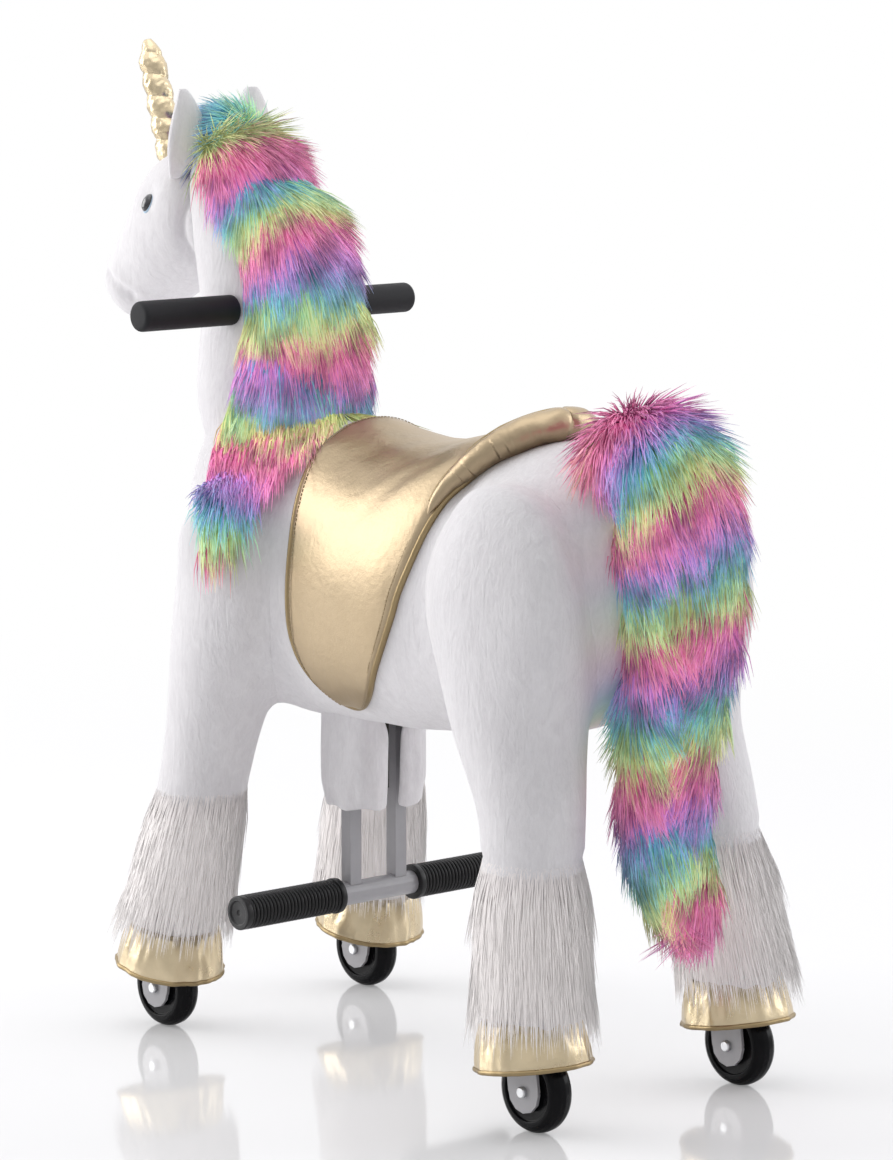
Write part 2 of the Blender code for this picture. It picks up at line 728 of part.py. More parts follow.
def make_stirrup_bar():
    ends = (Vector((-STIRRUP_BAR_HALF, STIRRUP_Y, STIRRUP_BAR_Z)),
            Vector((STIRRUP_BAR_HALF, STIRRUP_Y, STIRRUP_BAR_Z)))
    rod("stirrup_bar", *ends, STIRRUP_BAR_R, "steel", sides=24)
    for side in (-1, 1):
        sleeve(f"stirrup_grip_{side_name(side)}", (STIRRUP_Y, STIRRUP_BAR_Z), side,
               (STIRRUP_GRIP_IN, STIRRUP_GRIP_OUT), STIRRUP_GRIP_R, STIRRUP_BAR_R,
               STIRRUP_BAR_HALF, GRIP_FLANGE_R, "black_rubber")


def sleeve(name, centre, side, span, radius, bore, bar_end, flange_r, look):
    """A closed-ended grip pushed over a bar's end."""
    inner, outer = span
    y, z = centre
    round_off = radius * 0.45
    profile = [(0, outer), (radius - round_off, outer), (radius, outer - round_off),
               (radius, inner + GRIP_FLANGE_T), (flange_r, inner + GRIP_FLANGE_T - 0.001),
               (flange_r, inner), (bore + GAP, inner), (bore + GAP, bar_end + GAP), (0, bar_end + GAP)]
    frame = Matrix.Translation((0, y, z)) @ Matrix.Rotation(math.pi / 2 * side, 4, "Y")
    return turned(name, profile, frame, look, steps=16)


def make_handlebar():
    bar = rod("handlebar", (-BAR_HALF, STEER_Y, BAR_Z), (BAR_HALF, STEER_Y, BAR_Z), BAR_R, "steel", sides=24)
    for side in (-1, 1):
        sleeve(f"handle_grip_{side_name(side)}", (STEER_Y, BAR_Z), side, (GRIP_IN, GRIP_OUT),
               GRIP_R, BAR_R, BAR_HALF, GRIP_R, "black_foam")
    return bar


def make_hoof(front, side):
    name = f"{'front' if front else 'rear'}_hoof_{side_name(side)}"
    bore = LEG_TUBE_R + GAP
    wall = HOOF_WALL
    middle = (HOOF_LOW + HOOF_TOP) / 2
    bulge = (HOOF_RIM_R + HOOF_TOP_R) / 2 + 0.002
    profile = [(bore, HOOF_TOP), (HOOF_TOP_R - 0.004, HOOF_TOP), (HOOF_TOP_R, HOOF_TOP - 0.003),
               (bulge, middle), (HOOF_RIM_R, HOOF_LOW), (HOOF_RIM_R - wall, HOOF_LOW),
               (bulge - wall, middle), (HOOF_TOP_R - wall, HOOF_TOP - wall - 0.001), (bore, HOOF_TOP - wall)]
    return turned(name, profile, leg_frame(front, side), "gold_leather", steps=18, ring=True)


def body_ring(y, half_w, low, high):
    return (0.0, y, (low + high) / 2, half_w, (high - low) / 2, 90.0)


def body_form(name, look=None, grow=0.0, rounds=1):
    rings = [body_ring(*ring) for ring in BODY_RINGS]
    growth = BODY_GROWTH if rounds else 1.0
    return stuffed(name, rings, look, sides=BODY_SIDES, growth=growth, power=HULL_POWER,
                   grow=grow, rounds=rounds)


def core(front, shrink):
    """The drum of the body that a pair of legs turns round."""
    centre = hip(front)
    half = X * (CORE_HALF - shrink)
    radius = (SHOULDER_CORE_R if front else HIP_CORE_R) - shrink
    return rod(f"core_{front}_{shrink}", centre - half, centre + half, radius, sides=32)


def leg_rings(front, side):
    rings = FRONT_LEG_RINGS if front else REAR_LEG_RINGS
    return [(x * side, y, z, half_w, half_d, 0.0) for x, y, z, half_w, half_d in rings]


def swept_rings(front, side):
    """The leg's rings, deepened by half of the way that each one swings."""
    reach = math.tan(LEG_SWING / 2)
    return [(x, y, z, half_w, half_d + abs(z - HIP_Z) * reach, tilt)
            for x, y, z, half_w, half_d, tilt in leg_rings(front, side)]


def swing(front, share):
    """The turn of a pair of legs about its hip at a share of the full swing."""
    centre = hip(front)
    angle = LEG_SWING * share * (1 if front else -1)
    return Matrix.Translation(centre) @ Matrix.Rotation(angle, 4, "X") @ Matrix.Translation(-centre)


def make_leg(front, side):
    name = f"{'front' if front else 'rear'}_leg_{side_name(side)}"
    frame = leg_frame(front, side)
    leg = stuffed(name, leg_rings(front, side), "white_plush")
    cut(leg, core(front, 0.0))
    above = frame @ Matrix.Translation((0, 0, HOOF_TOP + GAP))
    cut(leg, block(f"{name}_sole", (-0.1, -0.1, -0.1), (0.1, 0.1, 0.0), frame=above))
    end = leg_length(front) + TUBE_ABOVE_HIP + ARM_EYE_H * 3
    cut(leg, rod(f"{name}_bore", frame @ Vector((0, 0, 0.02)), frame @ Vector((0, 0, end)),
                 (LEG_TUBE_R + GAP) * CUTTER_GROWTH, sides=12))
    centre = hip(front)
    cut(leg, rod(f"{name}_hip_bore", centre, centre + X * HALF_TRACK * side,
                 (HIP_AXLE_R + GAP) * CUTTER_GROWTH, sides=12))
    if front:
        low, top = tie_levels()[0] - RUN, tie_levels()[3] + RUN * 3
        reach = sorted((-HALF_TRACK * 0.5 * side, STEER_ROOM * side))
        cut(leg, block(f"{name}_pocket", (reach[0], -CRANK_REACH - TIE_W / 2 - RUN, low),
                       (reach[1], ARM_EYE_R + RUN * 2, top), frame=frame))
    return leg


def make_body():
    """The stuffed body: a padded shell round the frame, cut back where the legs swing.

    The right half is cut and then mirrored.
    """
    body = body_form("body", "white_plush")
    cut(body, block("neck_seat", (-0.2, STEER_Y - 0.2, NECK_SEAT),
                    (0.2, STEER_Y + NECK_SEAT_REACH, NECK_SEAT + 0.1)))
    for front in (True, False):
        sweep = stuffed(f"leg_sweep_{front}", swept_rings(front, -1), grow=SWING_GAP,
                        turn=swing(front, 0.5))
        cut(body, cut(sweep, core(front, SOFT_GAP)))
    hollow = body_form("body_hollow", grow=-STUFFING_WALL, rounds=0)
    cut(body, cut(hollow, block("seat_foam", (-0.2, SEAT_FRONT, BEAM_TOP + GAP),
                                (0.2, SEAT_REAR, BEAM_TOP + 0.1))))
    low, high, base, top = tie_levels()
    middle = leg_frame(True, 0)
    travel = math.tan(LEG_SWING / 2)
    aside = TIE_W / 2 + RUN + (top - leg_length(True)) * travel
    above = RUN * 3 + (CRANK_REACH + TIE_W / 2) * travel
    cut(body, block("tie_channel", (-HALF_TRACK, -CRANK_REACH - aside, low - above),
                    (HALF_TRACK, -CRANK_REACH + aside, top + above), frame=swing(True, 0.5) @ middle))
    for front in (True, False):
        start = hip(front) - X * 0.05
        cut(body, rod(f"hip_hole_{front}", start, start - X * 0.15, HIP_AXLE_R + RUN * 2, sides=12))
    belly = body_section(STIRRUP_Y)[1]
    cut(body, block("belly_hole", (-BELLY_HOLE_X, BELLY_HOLE_FRONT, belly - 0.05),
                    (BELLY_HOLE_X, BELLY_HOLE_REAR, belly + STUFFING_WALL * 2)))
    cut(body, rod("column_hole", (0, STEER_Y, BEAM_TOP), (0, STEER_Y, BAR_Z), HEADSET_R + RUN * 2))
    halves = body.modifiers.new("halves", "MIRROR")
    halves.use_bisect_axis[0] = True
    halves.use_bisect_flip_axis[0] = True
    halves.merge_threshold = 0.00002
    return body


def body_section(y):
    """Half width, lowest and highest point of the body at y."""
    rings = BODY_RINGS
    for near, far in zip(rings, rings[1:]):
        if near[0] <= y <= far[0]:
            t = (y - near[0]) / (far[0] - near[0])
            t = t * t * (3 - 2 * t)
            return tuple(a + (b - a) * t for a, b in zip(near[1:], far[1:]))
    return rings[-1][1:]


def saddle_point(form, y, sweep):
    """A point of the body's side and the way out of it, at degrees from the top."""
    half_w, low, high = body_section(y)
    c, s = power_curve(math.radians(90 - sweep), HULL_POWER)
    centre = Vector((0, y, (low + high) / 2))
    out = Vector((half_w * c, 0, (high - low) / 2 * s)).normalized()
    found, where, normal, index = form.ray_cast(centre, out)
    return where, out


def make_saddle():
    """A padded seat with a raised back and two flaps that lie down the body's sides."""
    under = body_form("under_saddle", grow=SEAM_GAP)
    form = under.evaluated_get(bpy.context.evaluated_depsgraph_get())
    rows = [(-sweep, front, rear) for sweep, front, rear in reversed(SADDLE_EDGES[1:])]
    rows += SADDLE_EDGES
    shape = bmesh.new()
    inner, outer = [], []
    for sweep, front, rear in rows:
        pad = max(0.0, math.cos(math.pi / 2 * min(1.0, abs(sweep) / PAD_SWEEP)))
        low_row, high_row = [], []
        for along, swell in SADDLE_PAD:
            where, out = saddle_point(form, front + (rear - front) * along, abs(sweep))
            if sweep < 0:
                where.x, out.x = -where.x, -out.x
            thick = FLAP_T * (0.6 + 0.4 * min(1.0, swell)) + (SEAT_T - FLAP_T) * pad * swell
            low_row.append(shape.verts.new(where - out * FLAP_T))
            high_row.append(shape.verts.new(where + out * thick))
        inner.append(low_row)
        outer.append(high_row)
    wide, long = len(rows) - 1, len(SADDLE_PAD) - 1
    for grid in (inner, outer):
        for j in range(wide):
            for k in range(long):
                shape.faces.new((grid[j][k], grid[j][k + 1], grid[j + 1][k + 1], grid[j + 1][k]))
    for j in range(wide):
        for k in (0, long):
            shape.faces.new((inner[j][k], inner[j + 1][k], outer[j + 1][k], outer[j][k]))
    for j in (0, wide):
        for k in range(long):
            shape.faces.new((inner[j][k], inner[j][k + 1], outer[j][k + 1], outer[j][k]))
    return cut(smooth(put("saddle", shape, "gold_leather")), under)


def make_sleeves():
    """Two soft flaps that hang from the belly round the stirrup arms."""
    for side in (-1, 1):
        name = f"arm_sleeve_{side_name(side)}"
        x0, x1 = SLEEVE_SLIT * side, SLEEVE_X * side
        path = ((x0, SLEEVE_Y), (x1 * 0.82, SLEEVE_Y), (x1, SLEEVE_Y * 0.72),
                (x1, -SLEEVE_Y * 0.72), (x1 * 0.82, -SLEEVE_Y), (x0, -SLEEVE_Y))
        shape = bmesh.new()
        rows = [[shape.verts.new((x, STIRRUP_Y + y, z)) for x, y in path]
                for z in (SLEEVE_LOW, SLEEVE_TOP - GAP)]
        for k in range(len(path) - 1):
            shape.faces.new((rows[0][k], rows[0][k + 1], rows[1][k + 1], rows[1][k]))
        flap = put(name, shape, "white_plush")
        wall = flap.modifiers.new("wall", "SOLIDIFY")
        wall.thickness = SLEEVE_T
        wall.offset = 0.0
        wall.use_even_offset = True


def make_neck():
    neck = stuffed("neck", NECK_RINGS, "white_plush", flat_foot=True)
    cut(neck, rod("neck_bore", (0, STEER_Y, NECK_SEAT - 0.01), (0, STEER_Y, BAR_Z),
                  (CLAMP_R + GAP) * CUTTER_GROWTH, sides=12))
    return cut(neck, bar_form("bar_in_neck"))


def bar_form(name):
    """The room that the handlebar and its grips take in the soft pieces round them."""
    bar = rod(name, (-0.1, STEER_Y, BAR_Z), (0.1, STEER_Y, BAR_Z), BAR_R + GAP, sides=20)
    for side in (-1, 1):
        join(bar, rod(f"{name}_{side}", ((GRIP_IN - GAP) * side, STEER_Y, BAR_Z),
                      (0.2 * side, STEER_Y, BAR_Z), GRIP_R + GAP, sides=20))
    return bar


def make_head():
    head = stuffed("head", HEAD_RINGS, "white_plush")
    return cut(head, stuffed("neck_in_head", NECK_RINGS, grow=SEAM_GAP, flat_foot=True))


def make_mane():
    mane = stuffed("mane", MANE_RINGS, "rainbow_fur", flat_foot=True)
    cut(mane, stuffed("neck_in_mane", NECK_RINGS, grow=SEAM_GAP, flat_foot=True))
    cut(mane, stuffed("head_in_mane", HEAD_RINGS, grow=SEAM_GAP))
    cut(mane, bar_form("bar_in_mane"))
    for side in (-1, 1):
        cut(mane, ear_form(f"ear_in_mane_{side}", side, grow=GAP))
    return mane


def ear_form(name, side, look=None, grow=0.0):
    """A leaf that stands on the head and leans outwards."""
    foot = Vector((EAR_FOOT[0] * side, EAR_FOOT[1], EAR_FOOT[2]))
    rings = [(0.0, 0.0, EAR_H * h, EAR_W * w, EAR_D * w, 0.0)
             for h, w in ((-0.16, 0.6), (0.3, 1.05), (0.7, 0.75), (1.0, 0.15))]
    lean = Matrix.Translation(foot) @ Matrix.Rotation(math.radians(EAR_SPLAY) * side, 4, "Y")
    lean = lean @ Matrix.Rotation(math.radians(40.0) * side, 4, "Z")
    return stuffed(name, rings, look, sides=EAR_SIDES, growth=EAR_GROWTH, grow=grow, turn=lean)


def make_ears_and_eyes():
    for side in (-1, 1):
        ear = ear_form(f"ear_{side_name(side)}", side, "white_plush")
        cut(ear, stuffed(f"head_in_ear_{side}", HEAD_RINGS, grow=SEAM_GAP))
        cut(ear, stuffed(f"neck_in_ear_{side}", NECK_RINGS, grow=SEAM_GAP, flat_foot=True))
        centre = (EYE_AT[0] * side, EYE_AT[1], EYE_AT[2])
        eye = ball(f"eye_{side_name(side)}", centre, (EYE_R * 0.6, EYE_R * 0.75, EYE_R), "eye_black")
        cut(eye, stuffed(f"head_in_eye_{side}", HEAD_RINGS, grow=SEAM_GAP))


def make_horn():
    foot, tip = Vector(HORN_FOOT), Vector(HORN_TIP)
    length = (tip - foot).length
    profile = [(0, length)]
    for k in range(HORN_RIBS):
        base = (HORN_RIBS - k - 0.15) / HORN_RIBS
        radius = HORN_R * (0.38 + 0.62 * (k + 0.6) / HORN_RIBS)
        profile.append((radius, length * base - 0.004))
        profile.append((radius * 0.86, length * (base - 0.8 / HORN_RIBS)))
    profile += [(HORN_R, -0.012), (0, -0.012)]
    horn = turned("horn", profile, aim(foot, tip), "gold_leather", steps=12)
    return cut(horn, stuffed("head_in_horn", HEAD_RINGS, grow=SEAM_GAP),
               stuffed("neck_in_horn", NECK_RINGS, grow=SEAM_GAP, flat_foot=True))


def make_tail():
    tail = stuffed("tail", TAIL_RINGS, "rainbow_fur")
    return cut(tail, body_form("body_in_tail", grow=SEAM_GAP))


def pivot(name, place_at, parent=None):
    made = bpy.data.objects.new(name, None)
    made.location = place_at
    made.parent = parent
    collection("cutters").objects.link(made)
    return made


def hang_pieces():
    """Parent each piece to the point that it turns or slides about."""
    middle = pivot("mid_wheelbase", (0, BODY_SHIFT, 0))
    fork_at = {side: leg_frame(True, side).translation for side in (-1, 1)}
    points = {
        "front_legs": (hip(True), ("front_hip_axle", "front_leg_", "front_hoof_", "tie_rod")),
        "rear_legs": (hip(False), ("rear_hip_axle", "rear_leg_", "rear_hoof_", "rear_fork_", "rear_axle_")),
        "steer_left": (fork_at[1], ("front_fork_left", "steering_arm_left", "front_axle_bolt_left")),
        "steer_right": (fork_at[-1], ("front_fork_right", "steering_arm_right", "front_axle_bolt_right")),
        "steer_head": (Vector((0, STEER_Y, BAR_Z)),
                       ("steering_column", "handle", "neck", "head", "mane", "horn", "ear_", "eye_")),
        "stirrup": (Vector((0, STIRRUP_Y, STIRRUP_BAR_Z)), ("stirrup_arms", "stirrup_bar", "stirrup_grip_")),
        "crosshead": (Vector((0, STIRRUP_Y, CROSSHEAD_Z)), ("front_link", "rear_link")),
    }
    pieces = [piece for piece in bpy.data.objects if piece.type == "MESH"]
    for name, (at, starts) in points.items():
        point = pivot(name + "_point", at, middle)
        for piece in pieces:
            if not piece.hide_render and piece.name.startswith(starts):
                piece.parent = point
                piece.matrix_parent_inverse = Matrix.Translation(-at)
    for piece in pieces:
        if not piece.parent:
            piece.parent = middle


def main():
    start_clean()
    make_frame()
    make_guides()
    make_stirrup()
    make_stirrup_bar()
    for front in (True, False):
        make_hip_axle(front)
        make_link(front)
        for side in (-1, 1):
            make_wheel(front, side)
            make_fork(front, side)
            make_leg_tube(front, side)
            make_hoof(front, side)
            make_leg(front, side)
    make_front_steering()
    make_steering_column()
    make_handlebar()
    make_body()
    make_saddle()
    make_sleeves()
    make_neck()
    make_head()
    make_mane()
    make_ears_and_eyes()
    make_horn()
    make_tail()
    hang_pieces()


main()
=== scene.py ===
# %% [markdown]
# # A plush ride-on unicorn
#
# The toy is a steel frame inside a stuffed animal.  A child sits on the gold saddle, stands
# on the stirrup grips and bounces, and the four legs step along on wheels.  The construction
# comes ready made as a frame of solids.  This script gives each piece its looks: the plush
# skin, the rainbow fur, the metallic saddle and hooves, and the finishes of the steel parts.

# %% Load the frame
import json
import math

import bmesh
import bpy
import numpy as np
from mathutils import Matrix, Vector, noise
from mathutils.bvhtree import BVHTree


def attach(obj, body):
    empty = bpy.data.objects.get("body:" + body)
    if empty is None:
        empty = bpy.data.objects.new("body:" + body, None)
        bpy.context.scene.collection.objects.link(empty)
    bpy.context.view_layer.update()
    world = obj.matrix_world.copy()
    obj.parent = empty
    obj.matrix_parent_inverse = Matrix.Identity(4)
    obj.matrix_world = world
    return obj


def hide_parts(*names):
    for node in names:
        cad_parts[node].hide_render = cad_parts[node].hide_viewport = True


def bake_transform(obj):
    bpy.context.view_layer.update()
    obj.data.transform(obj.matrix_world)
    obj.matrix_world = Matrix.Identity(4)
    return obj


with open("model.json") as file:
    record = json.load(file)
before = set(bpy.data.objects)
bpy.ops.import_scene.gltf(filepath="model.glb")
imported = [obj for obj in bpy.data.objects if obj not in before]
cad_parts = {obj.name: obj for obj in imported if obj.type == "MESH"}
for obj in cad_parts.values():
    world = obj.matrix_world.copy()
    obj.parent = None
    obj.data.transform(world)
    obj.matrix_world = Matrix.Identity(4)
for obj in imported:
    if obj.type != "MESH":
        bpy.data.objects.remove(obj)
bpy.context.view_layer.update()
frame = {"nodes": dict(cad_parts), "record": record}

# %% [markdown]
# ## Camera
#
# The photograph was taken from behind the animal's left shoulder with a long lens.  The camera
# was fitted to the four wheels on the floor, the hooves, the bars and the tip of the horn, so
# what is modelled in the right place also lands on the right pixel.

# %% Set the camera
LENS = 143.67
CAMERA_AT = Vector((2.8957, 3.3494, 1.1064))
CAMERA_TO = Vector((0.0, 0.0598, 0.4646))

scene = bpy.context.scene


def aimed(name, data, place):
    """Put a camera or a lamp at a place and aim it at the middle of the toy."""
    thing = bpy.data.objects.new(name, data)
    thing.location = place
    thing.rotation_euler = (CAMERA_TO - Vector(place)).to_track_quat("-Z", "Y").to_euler()
    scene.collection.objects.link(thing)
    return thing


scene.camera = aimed("camera", bpy.data.cameras.new("camera"), CAMERA_AT)
scene.camera.data.lens = LENS
scene.view_settings.view_transform = "Standard"
print("camera", round((CAMERA_TO - CAMERA_AT).length, 3), "m away")

# %% [markdown]
# ## Small helpers
#
# A few short functions do the chores: make an object from a mesh, read back the result of its
# modifiers as a plain mesh, and build a closed cage from rings.  A cage of few faces, smoothed
# by Subdivision Surface, is a good match for stuffed fabric, because it has no flat spots.

# %% Pieces and their modifiers
def new_piece(name, shape, *finishes, outward=True):
    """Make a bmesh an object at the origin, with smooth faces and its finishes."""
    if outward:
        bmesh.ops.recalc_face_normals(shape, faces=shape.faces)
    mesh = bpy.data.meshes.new(name)
    shape.to_mesh(mesh)
    shape.free()
    piece = bpy.data.objects.new(name, mesh)
    scene.collection.objects.link(piece)
    for finish in finishes:
        mesh.materials.append(finish)
    for face in mesh.polygons:
        face.use_smooth = True
    return piece


def modifier(piece, kind, **settings):
    step = piece.modifiers.new(kind.lower(), kind)
    for key, value in settings.items():
        setattr(step, key, value)


def settled(piece, levels=0):
    """Subdivide a piece if asked, and turn the result of its modifiers into its own mesh."""
    if levels:
        modifier(piece, "SUBSURF", levels=levels, render_levels=levels)
    view = bpy.context.evaluated_depsgraph_get()
    mesh = bpy.data.meshes.new_from_object(piece.evaluated_get(view), depsgraph=view)
    piece.modifiers.clear()
    piece.data = mesh
    for face in mesh.polygons:
        face.use_smooth = True
    return piece


def dressed(piece, body=None, stands_for=None):
    """Say which body carries a piece and which solid it replaces."""
    if body:
        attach(piece, body)
    if stands_for:
        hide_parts(stands_for)
    return piece


def smoothstep(low, high, value):
    share = min(1.0, max(0.0, (value - low) / (high - low)))
    return share * share * (3 - 2 * share)


def mix(start, end, share):
    return start + (end - start) * share


# %% Forms made of rows of points
def faces_between(shape, rows, closed=False):
    """Join each row of corners to the next, and the ends of closed rows to each other."""
    for low, high in zip(rows, rows[1:]):
        for k in range(len(low) if closed else len(low) - 1):
            n = (k + 1) % len(low)
            corners = tuple(dict.fromkeys((low[k], low[n], high[n], high[k])))
            if len(corners) > 2:
                shape.faces.new(corners)


def round_form(name, rows, *finishes, loop=False):
    """A form through rings of points, closed at its ends or joined in a loop.

    A row of one point is a pole."""
    shape = bmesh.new()
    steps = max(len(row) for row in rows)
    rings = []
    for row in rows:
        ring = [shape.verts.new(point) for point in row]
        rings.append(ring if len(ring) > 1 else ring * steps)
    faces_between(shape, rings + rings[:1] if loop else rings, closed=True)
    for end, row in ((rings[0], rows[0]), (rings[-1], rows[-1])):
        if len(row) > 1 and not loop:
            shape.faces.new(end)
    return new_piece(name, shape, *finishes)


def thick_sheet(name, rows, finish, thickness, levels):
    """An open grid of points with a thickness, smoothed, and with its faces outwards."""
    shape = bmesh.new()
    faces_between(shape, [[shape.verts.new(point) for point in row] for row in rows])
    piece = new_piece(name, shape, finish, outward=False)
    modifier(piece, "SOLIDIFY", thickness=thickness, offset=0.0, use_rim=True)
    settled(piece, levels)
    whole = bmesh.new()
    whole.from_mesh(piece.data)
    bmesh.ops.recalc_face_normals(whole, faces=whole.faces)
    whole.to_mesh(piece.data)
    whole.free()
    return piece


BODY_SHIFT = 0.059      # from mid wheelbase to the origin, along y


def ring_points(ring, sides, power):
    """Points round one ring: x, y, z, half width, half depth, tilt in degrees."""
    x, y, z, half_w, half_d, tilt = ring
    centre = Vector((x, y + BODY_SHIFT, z))
    deep = Vector((0, math.cos(math.radians(tilt)), math.sin(math.radians(tilt))))
    # the limit surface of a round cage with this many sides is smaller by this much
    growth = 1 / (2 / 3 + math.cos(2 * math.pi / sides) / 3)
    points = []
    for k in range(sides):
        angle = 2 * math.pi * (k + 0.5) / sides
        c, s = math.cos(angle), math.sin(angle)
        across = math.copysign(abs(c) ** (2 / power), c) * half_w * growth
        along = math.copysign(abs(s) ** (2 / power), s) * half_d * growth
        points.append(centre + Vector((across, 0, 0)) + deep * along)
    return points


def ring_form(name, rings, finish, sides=12, power=2.0, levels=3):
    """A closed stuffed form through rings, smoothed."""
    return settled(round_form(name, [ring_points(ring, sides, power) for ring in rings], finish), levels)


print("helpers ready")

# %% Nodes and what feeds them
def fed(tree, made, **inputs):
    """Set a node's inputs, and link those that are given as sockets.

    An input goes by its name, with _ for a space, or by its number after a first _."""
    for key, value in inputs.items():
        slot = made.inputs[int(key[1:])] if key[0] == "_" else made.inputs[key.replace("_", " ")]
        if isinstance(value, bpy.types.NodeSocket):
            tree.links.new(value, slot)
        else:
            slot.default_value = value
    return made


def node(tree, kind, props=None, **inputs):
    """A new node with its properties and inputs set."""
    made = tree.nodes.new(kind)
    for key, value in (props or {}).items():
        setattr(made, key, value)
    return fed(tree, made, **inputs)


def math_node(tree, operation, *values, clamp=False):
    made = node(tree, "ShaderNodeMath", dict(operation=operation, use_clamp=clamp))
    return fed(tree, made, **{f"_{k}": value for k, value in enumerate(values)}).outputs[0]


def weighted(tree, total, *pairs):
    """total plus each value times its factor."""
    for value, factor in pairs:
        total = math_node(tree, "MULTIPLY_ADD", value, factor, total)
    return total


print("node helpers ready")

# %% [markdown]
# ## Studio
#
# The photograph has a plain white studio with a glossy pale floor that mirrors the wheels.
# Most of the light comes from the bright backdrop and from soft boxes beside it, and the room
# behind the camera is darker.  So the world is white for the camera, and for all other rays it
# fades from bright at the backdrop to dim opposite it.  That keeps the shading of the white
# plush, and puts both light and dark into the reflections in the gold cloth.

# %% Light the studio
BACKDROP_LIGHT, ROOM_LIGHT = 0.84, 0.42
CEILING_SHINE = 0.6     # more light from above, for reflections only
LAMPS = (
    # name, place, size, power, colour
    ("left_box", (2.0, -2.8, 1.5), 2.4, 65.0, (1.0, 0.99, 0.98)),
    ("right_box", (-2.9, 1.7, 1.5), 1.8, 26.0, (0.98, 0.985, 1.0)),
    ("top_box", (0.3, 0.2, 3.1), 2.4, 13.0, (1.0, 1.0, 1.0)),
)
for name, place, size, power, colour in LAMPS:
    lamp = bpy.data.lights.new(name, "AREA")
    lamp.size = size
    lamp.energy = power
    lamp.color = colour
    aimed(name, lamp, place)

BACKDROP_WAY = (0.65, 0.75, -0.1)
scene.world = bpy.data.worlds.new("studio")
scene.world.use_nodes = True
sky = scene.world.node_tree
sky.nodes.clear()
around = node(sky, "ShaderNodeTexCoord").outputs["Generated"]
facing = node(sky, "ShaderNodeVectorMath", dict(operation="DOT_PRODUCT"), _0=around, _1=BACKDROP_WAY)
fade = node(sky, "ShaderNodeMapRange", dict(interpolation_type="SMOOTHSTEP"), Value=facing.outputs["Value"],
            From_Min=-0.5, From_Max=0.8, To_Min=BACKDROP_LIGHT, To_Max=ROOM_LIGHT).outputs["Result"]
height = node(sky, "ShaderNodeSeparateXYZ", _0=around).outputs["Z"]
above = node(sky, "ShaderNodeMapRange", Value=height, To_Min=0.2, To_Max=0.2 + CEILING_SHINE)
path = node(sky, "ShaderNodeLightPath").outputs
gain = math_node(sky, "MULTIPLY_ADD", path["Is Glossy Ray"], above.outputs["Result"], fade)
fill = node(sky, "ShaderNodeBackground", Color=(0.985, 0.985, 1.0, 1), Strength=gain)
seen = node(sky, "ShaderNodeBackground", Color=(1, 1, 1, 1))
white_seen = math_node(sky, "MAXIMUM", path["Is Camera Ray"], path["Is Transmission Ray"])
pick = node(sky, "ShaderNodeMixShader", _0=white_seen, _1=fill.outputs[0], _2=seen.outputs[0])
node(sky, "ShaderNodeOutputWorld", Surface=pick.outputs[0])
print("lamps", len(LAMPS))

# %% [markdown]
# ## Finishes
#
# Each finish is a Principled shader with the detail of the real surface, worked out from the
# object's own coordinates.  The patterns that several finishes share, such as fine nap and
# grain, are node groups with named inputs, built once and placed in each material with values
# of its own.

# %% Helpers for materials
def object_coords(tree):
    return node(tree, "ShaderNodeTexCoord").outputs["Object"]


def noise_on(tree, **looks):
    return node(tree, "ShaderNodeTexNoise", Vector=object_coords(tree), **looks).outputs["Fac"]


def mixed_colour(tree, share, first, second, blend="MIX"):
    first, second = ((*c, 1.0) if isinstance(c, tuple) else c for c in (first, second))
    props = dict(data_type="RGBA", blend_type=blend)
    return node(tree, "ShaderNodeMix", props, _0=share, _6=first, _7=second).outputs[2]


def ramp(tree, value, stops):
    made = node(tree, "ShaderNodeValToRGB", _0=value)
    marks = made.color_ramp.elements
    while len(marks) < len(stops):
        marks.new(0.5)
    for mark, (at, colour) in zip(marks, stops):
        mark.position = at
        mark.color = (*colour, 1.0)
    return made.outputs[0]


def material(name, **sockets):
    """A new material and its Principled shader, with constant sockets set on the shader."""
    made = bpy.data.materials.new(name)
    made.use_nodes = True
    tree = made.node_tree
    return made, tree, fed(tree, tree.nodes["Principled BSDF"], **sockets)


def bumped(tree, shader, height, strength, distance):
    made = node(tree, "ShaderNodeBump", Strength=strength, Distance=distance, Height=height)
    fed(tree, shader, Normal=made.outputs[0])


def shader_group(name, outputs, **inputs):
    """An empty shader group with a Vector input, named numbers and named outputs."""
    group = bpy.data.node_groups.new(name, "ShaderNodeTree")
    group.interface.new_socket("Vector", in_out="INPUT", socket_type="NodeSocketVector")
    for label, value in inputs.items():
        slot = group.interface.new_socket(label.replace("_", " "), in_out="INPUT",
                                          socket_type="NodeSocketFloat")
        slot.default_value = value
    for label in outputs:
        group.interface.new_socket(label, in_out="OUTPUT", socket_type="NodeSocketFloat")
    return group, group.nodes.new("NodeGroupInput").outputs, group.nodes.new("NodeGroupOutput")


def placed_group(tree, group, **values):
    """A shared pattern, placed on the object's own coordinates."""
    coords = object_coords(tree)
    return node(tree, "ShaderNodeGroup", dict(node_tree=group), Vector=coords, **values).outputs


print("material helpers ready")

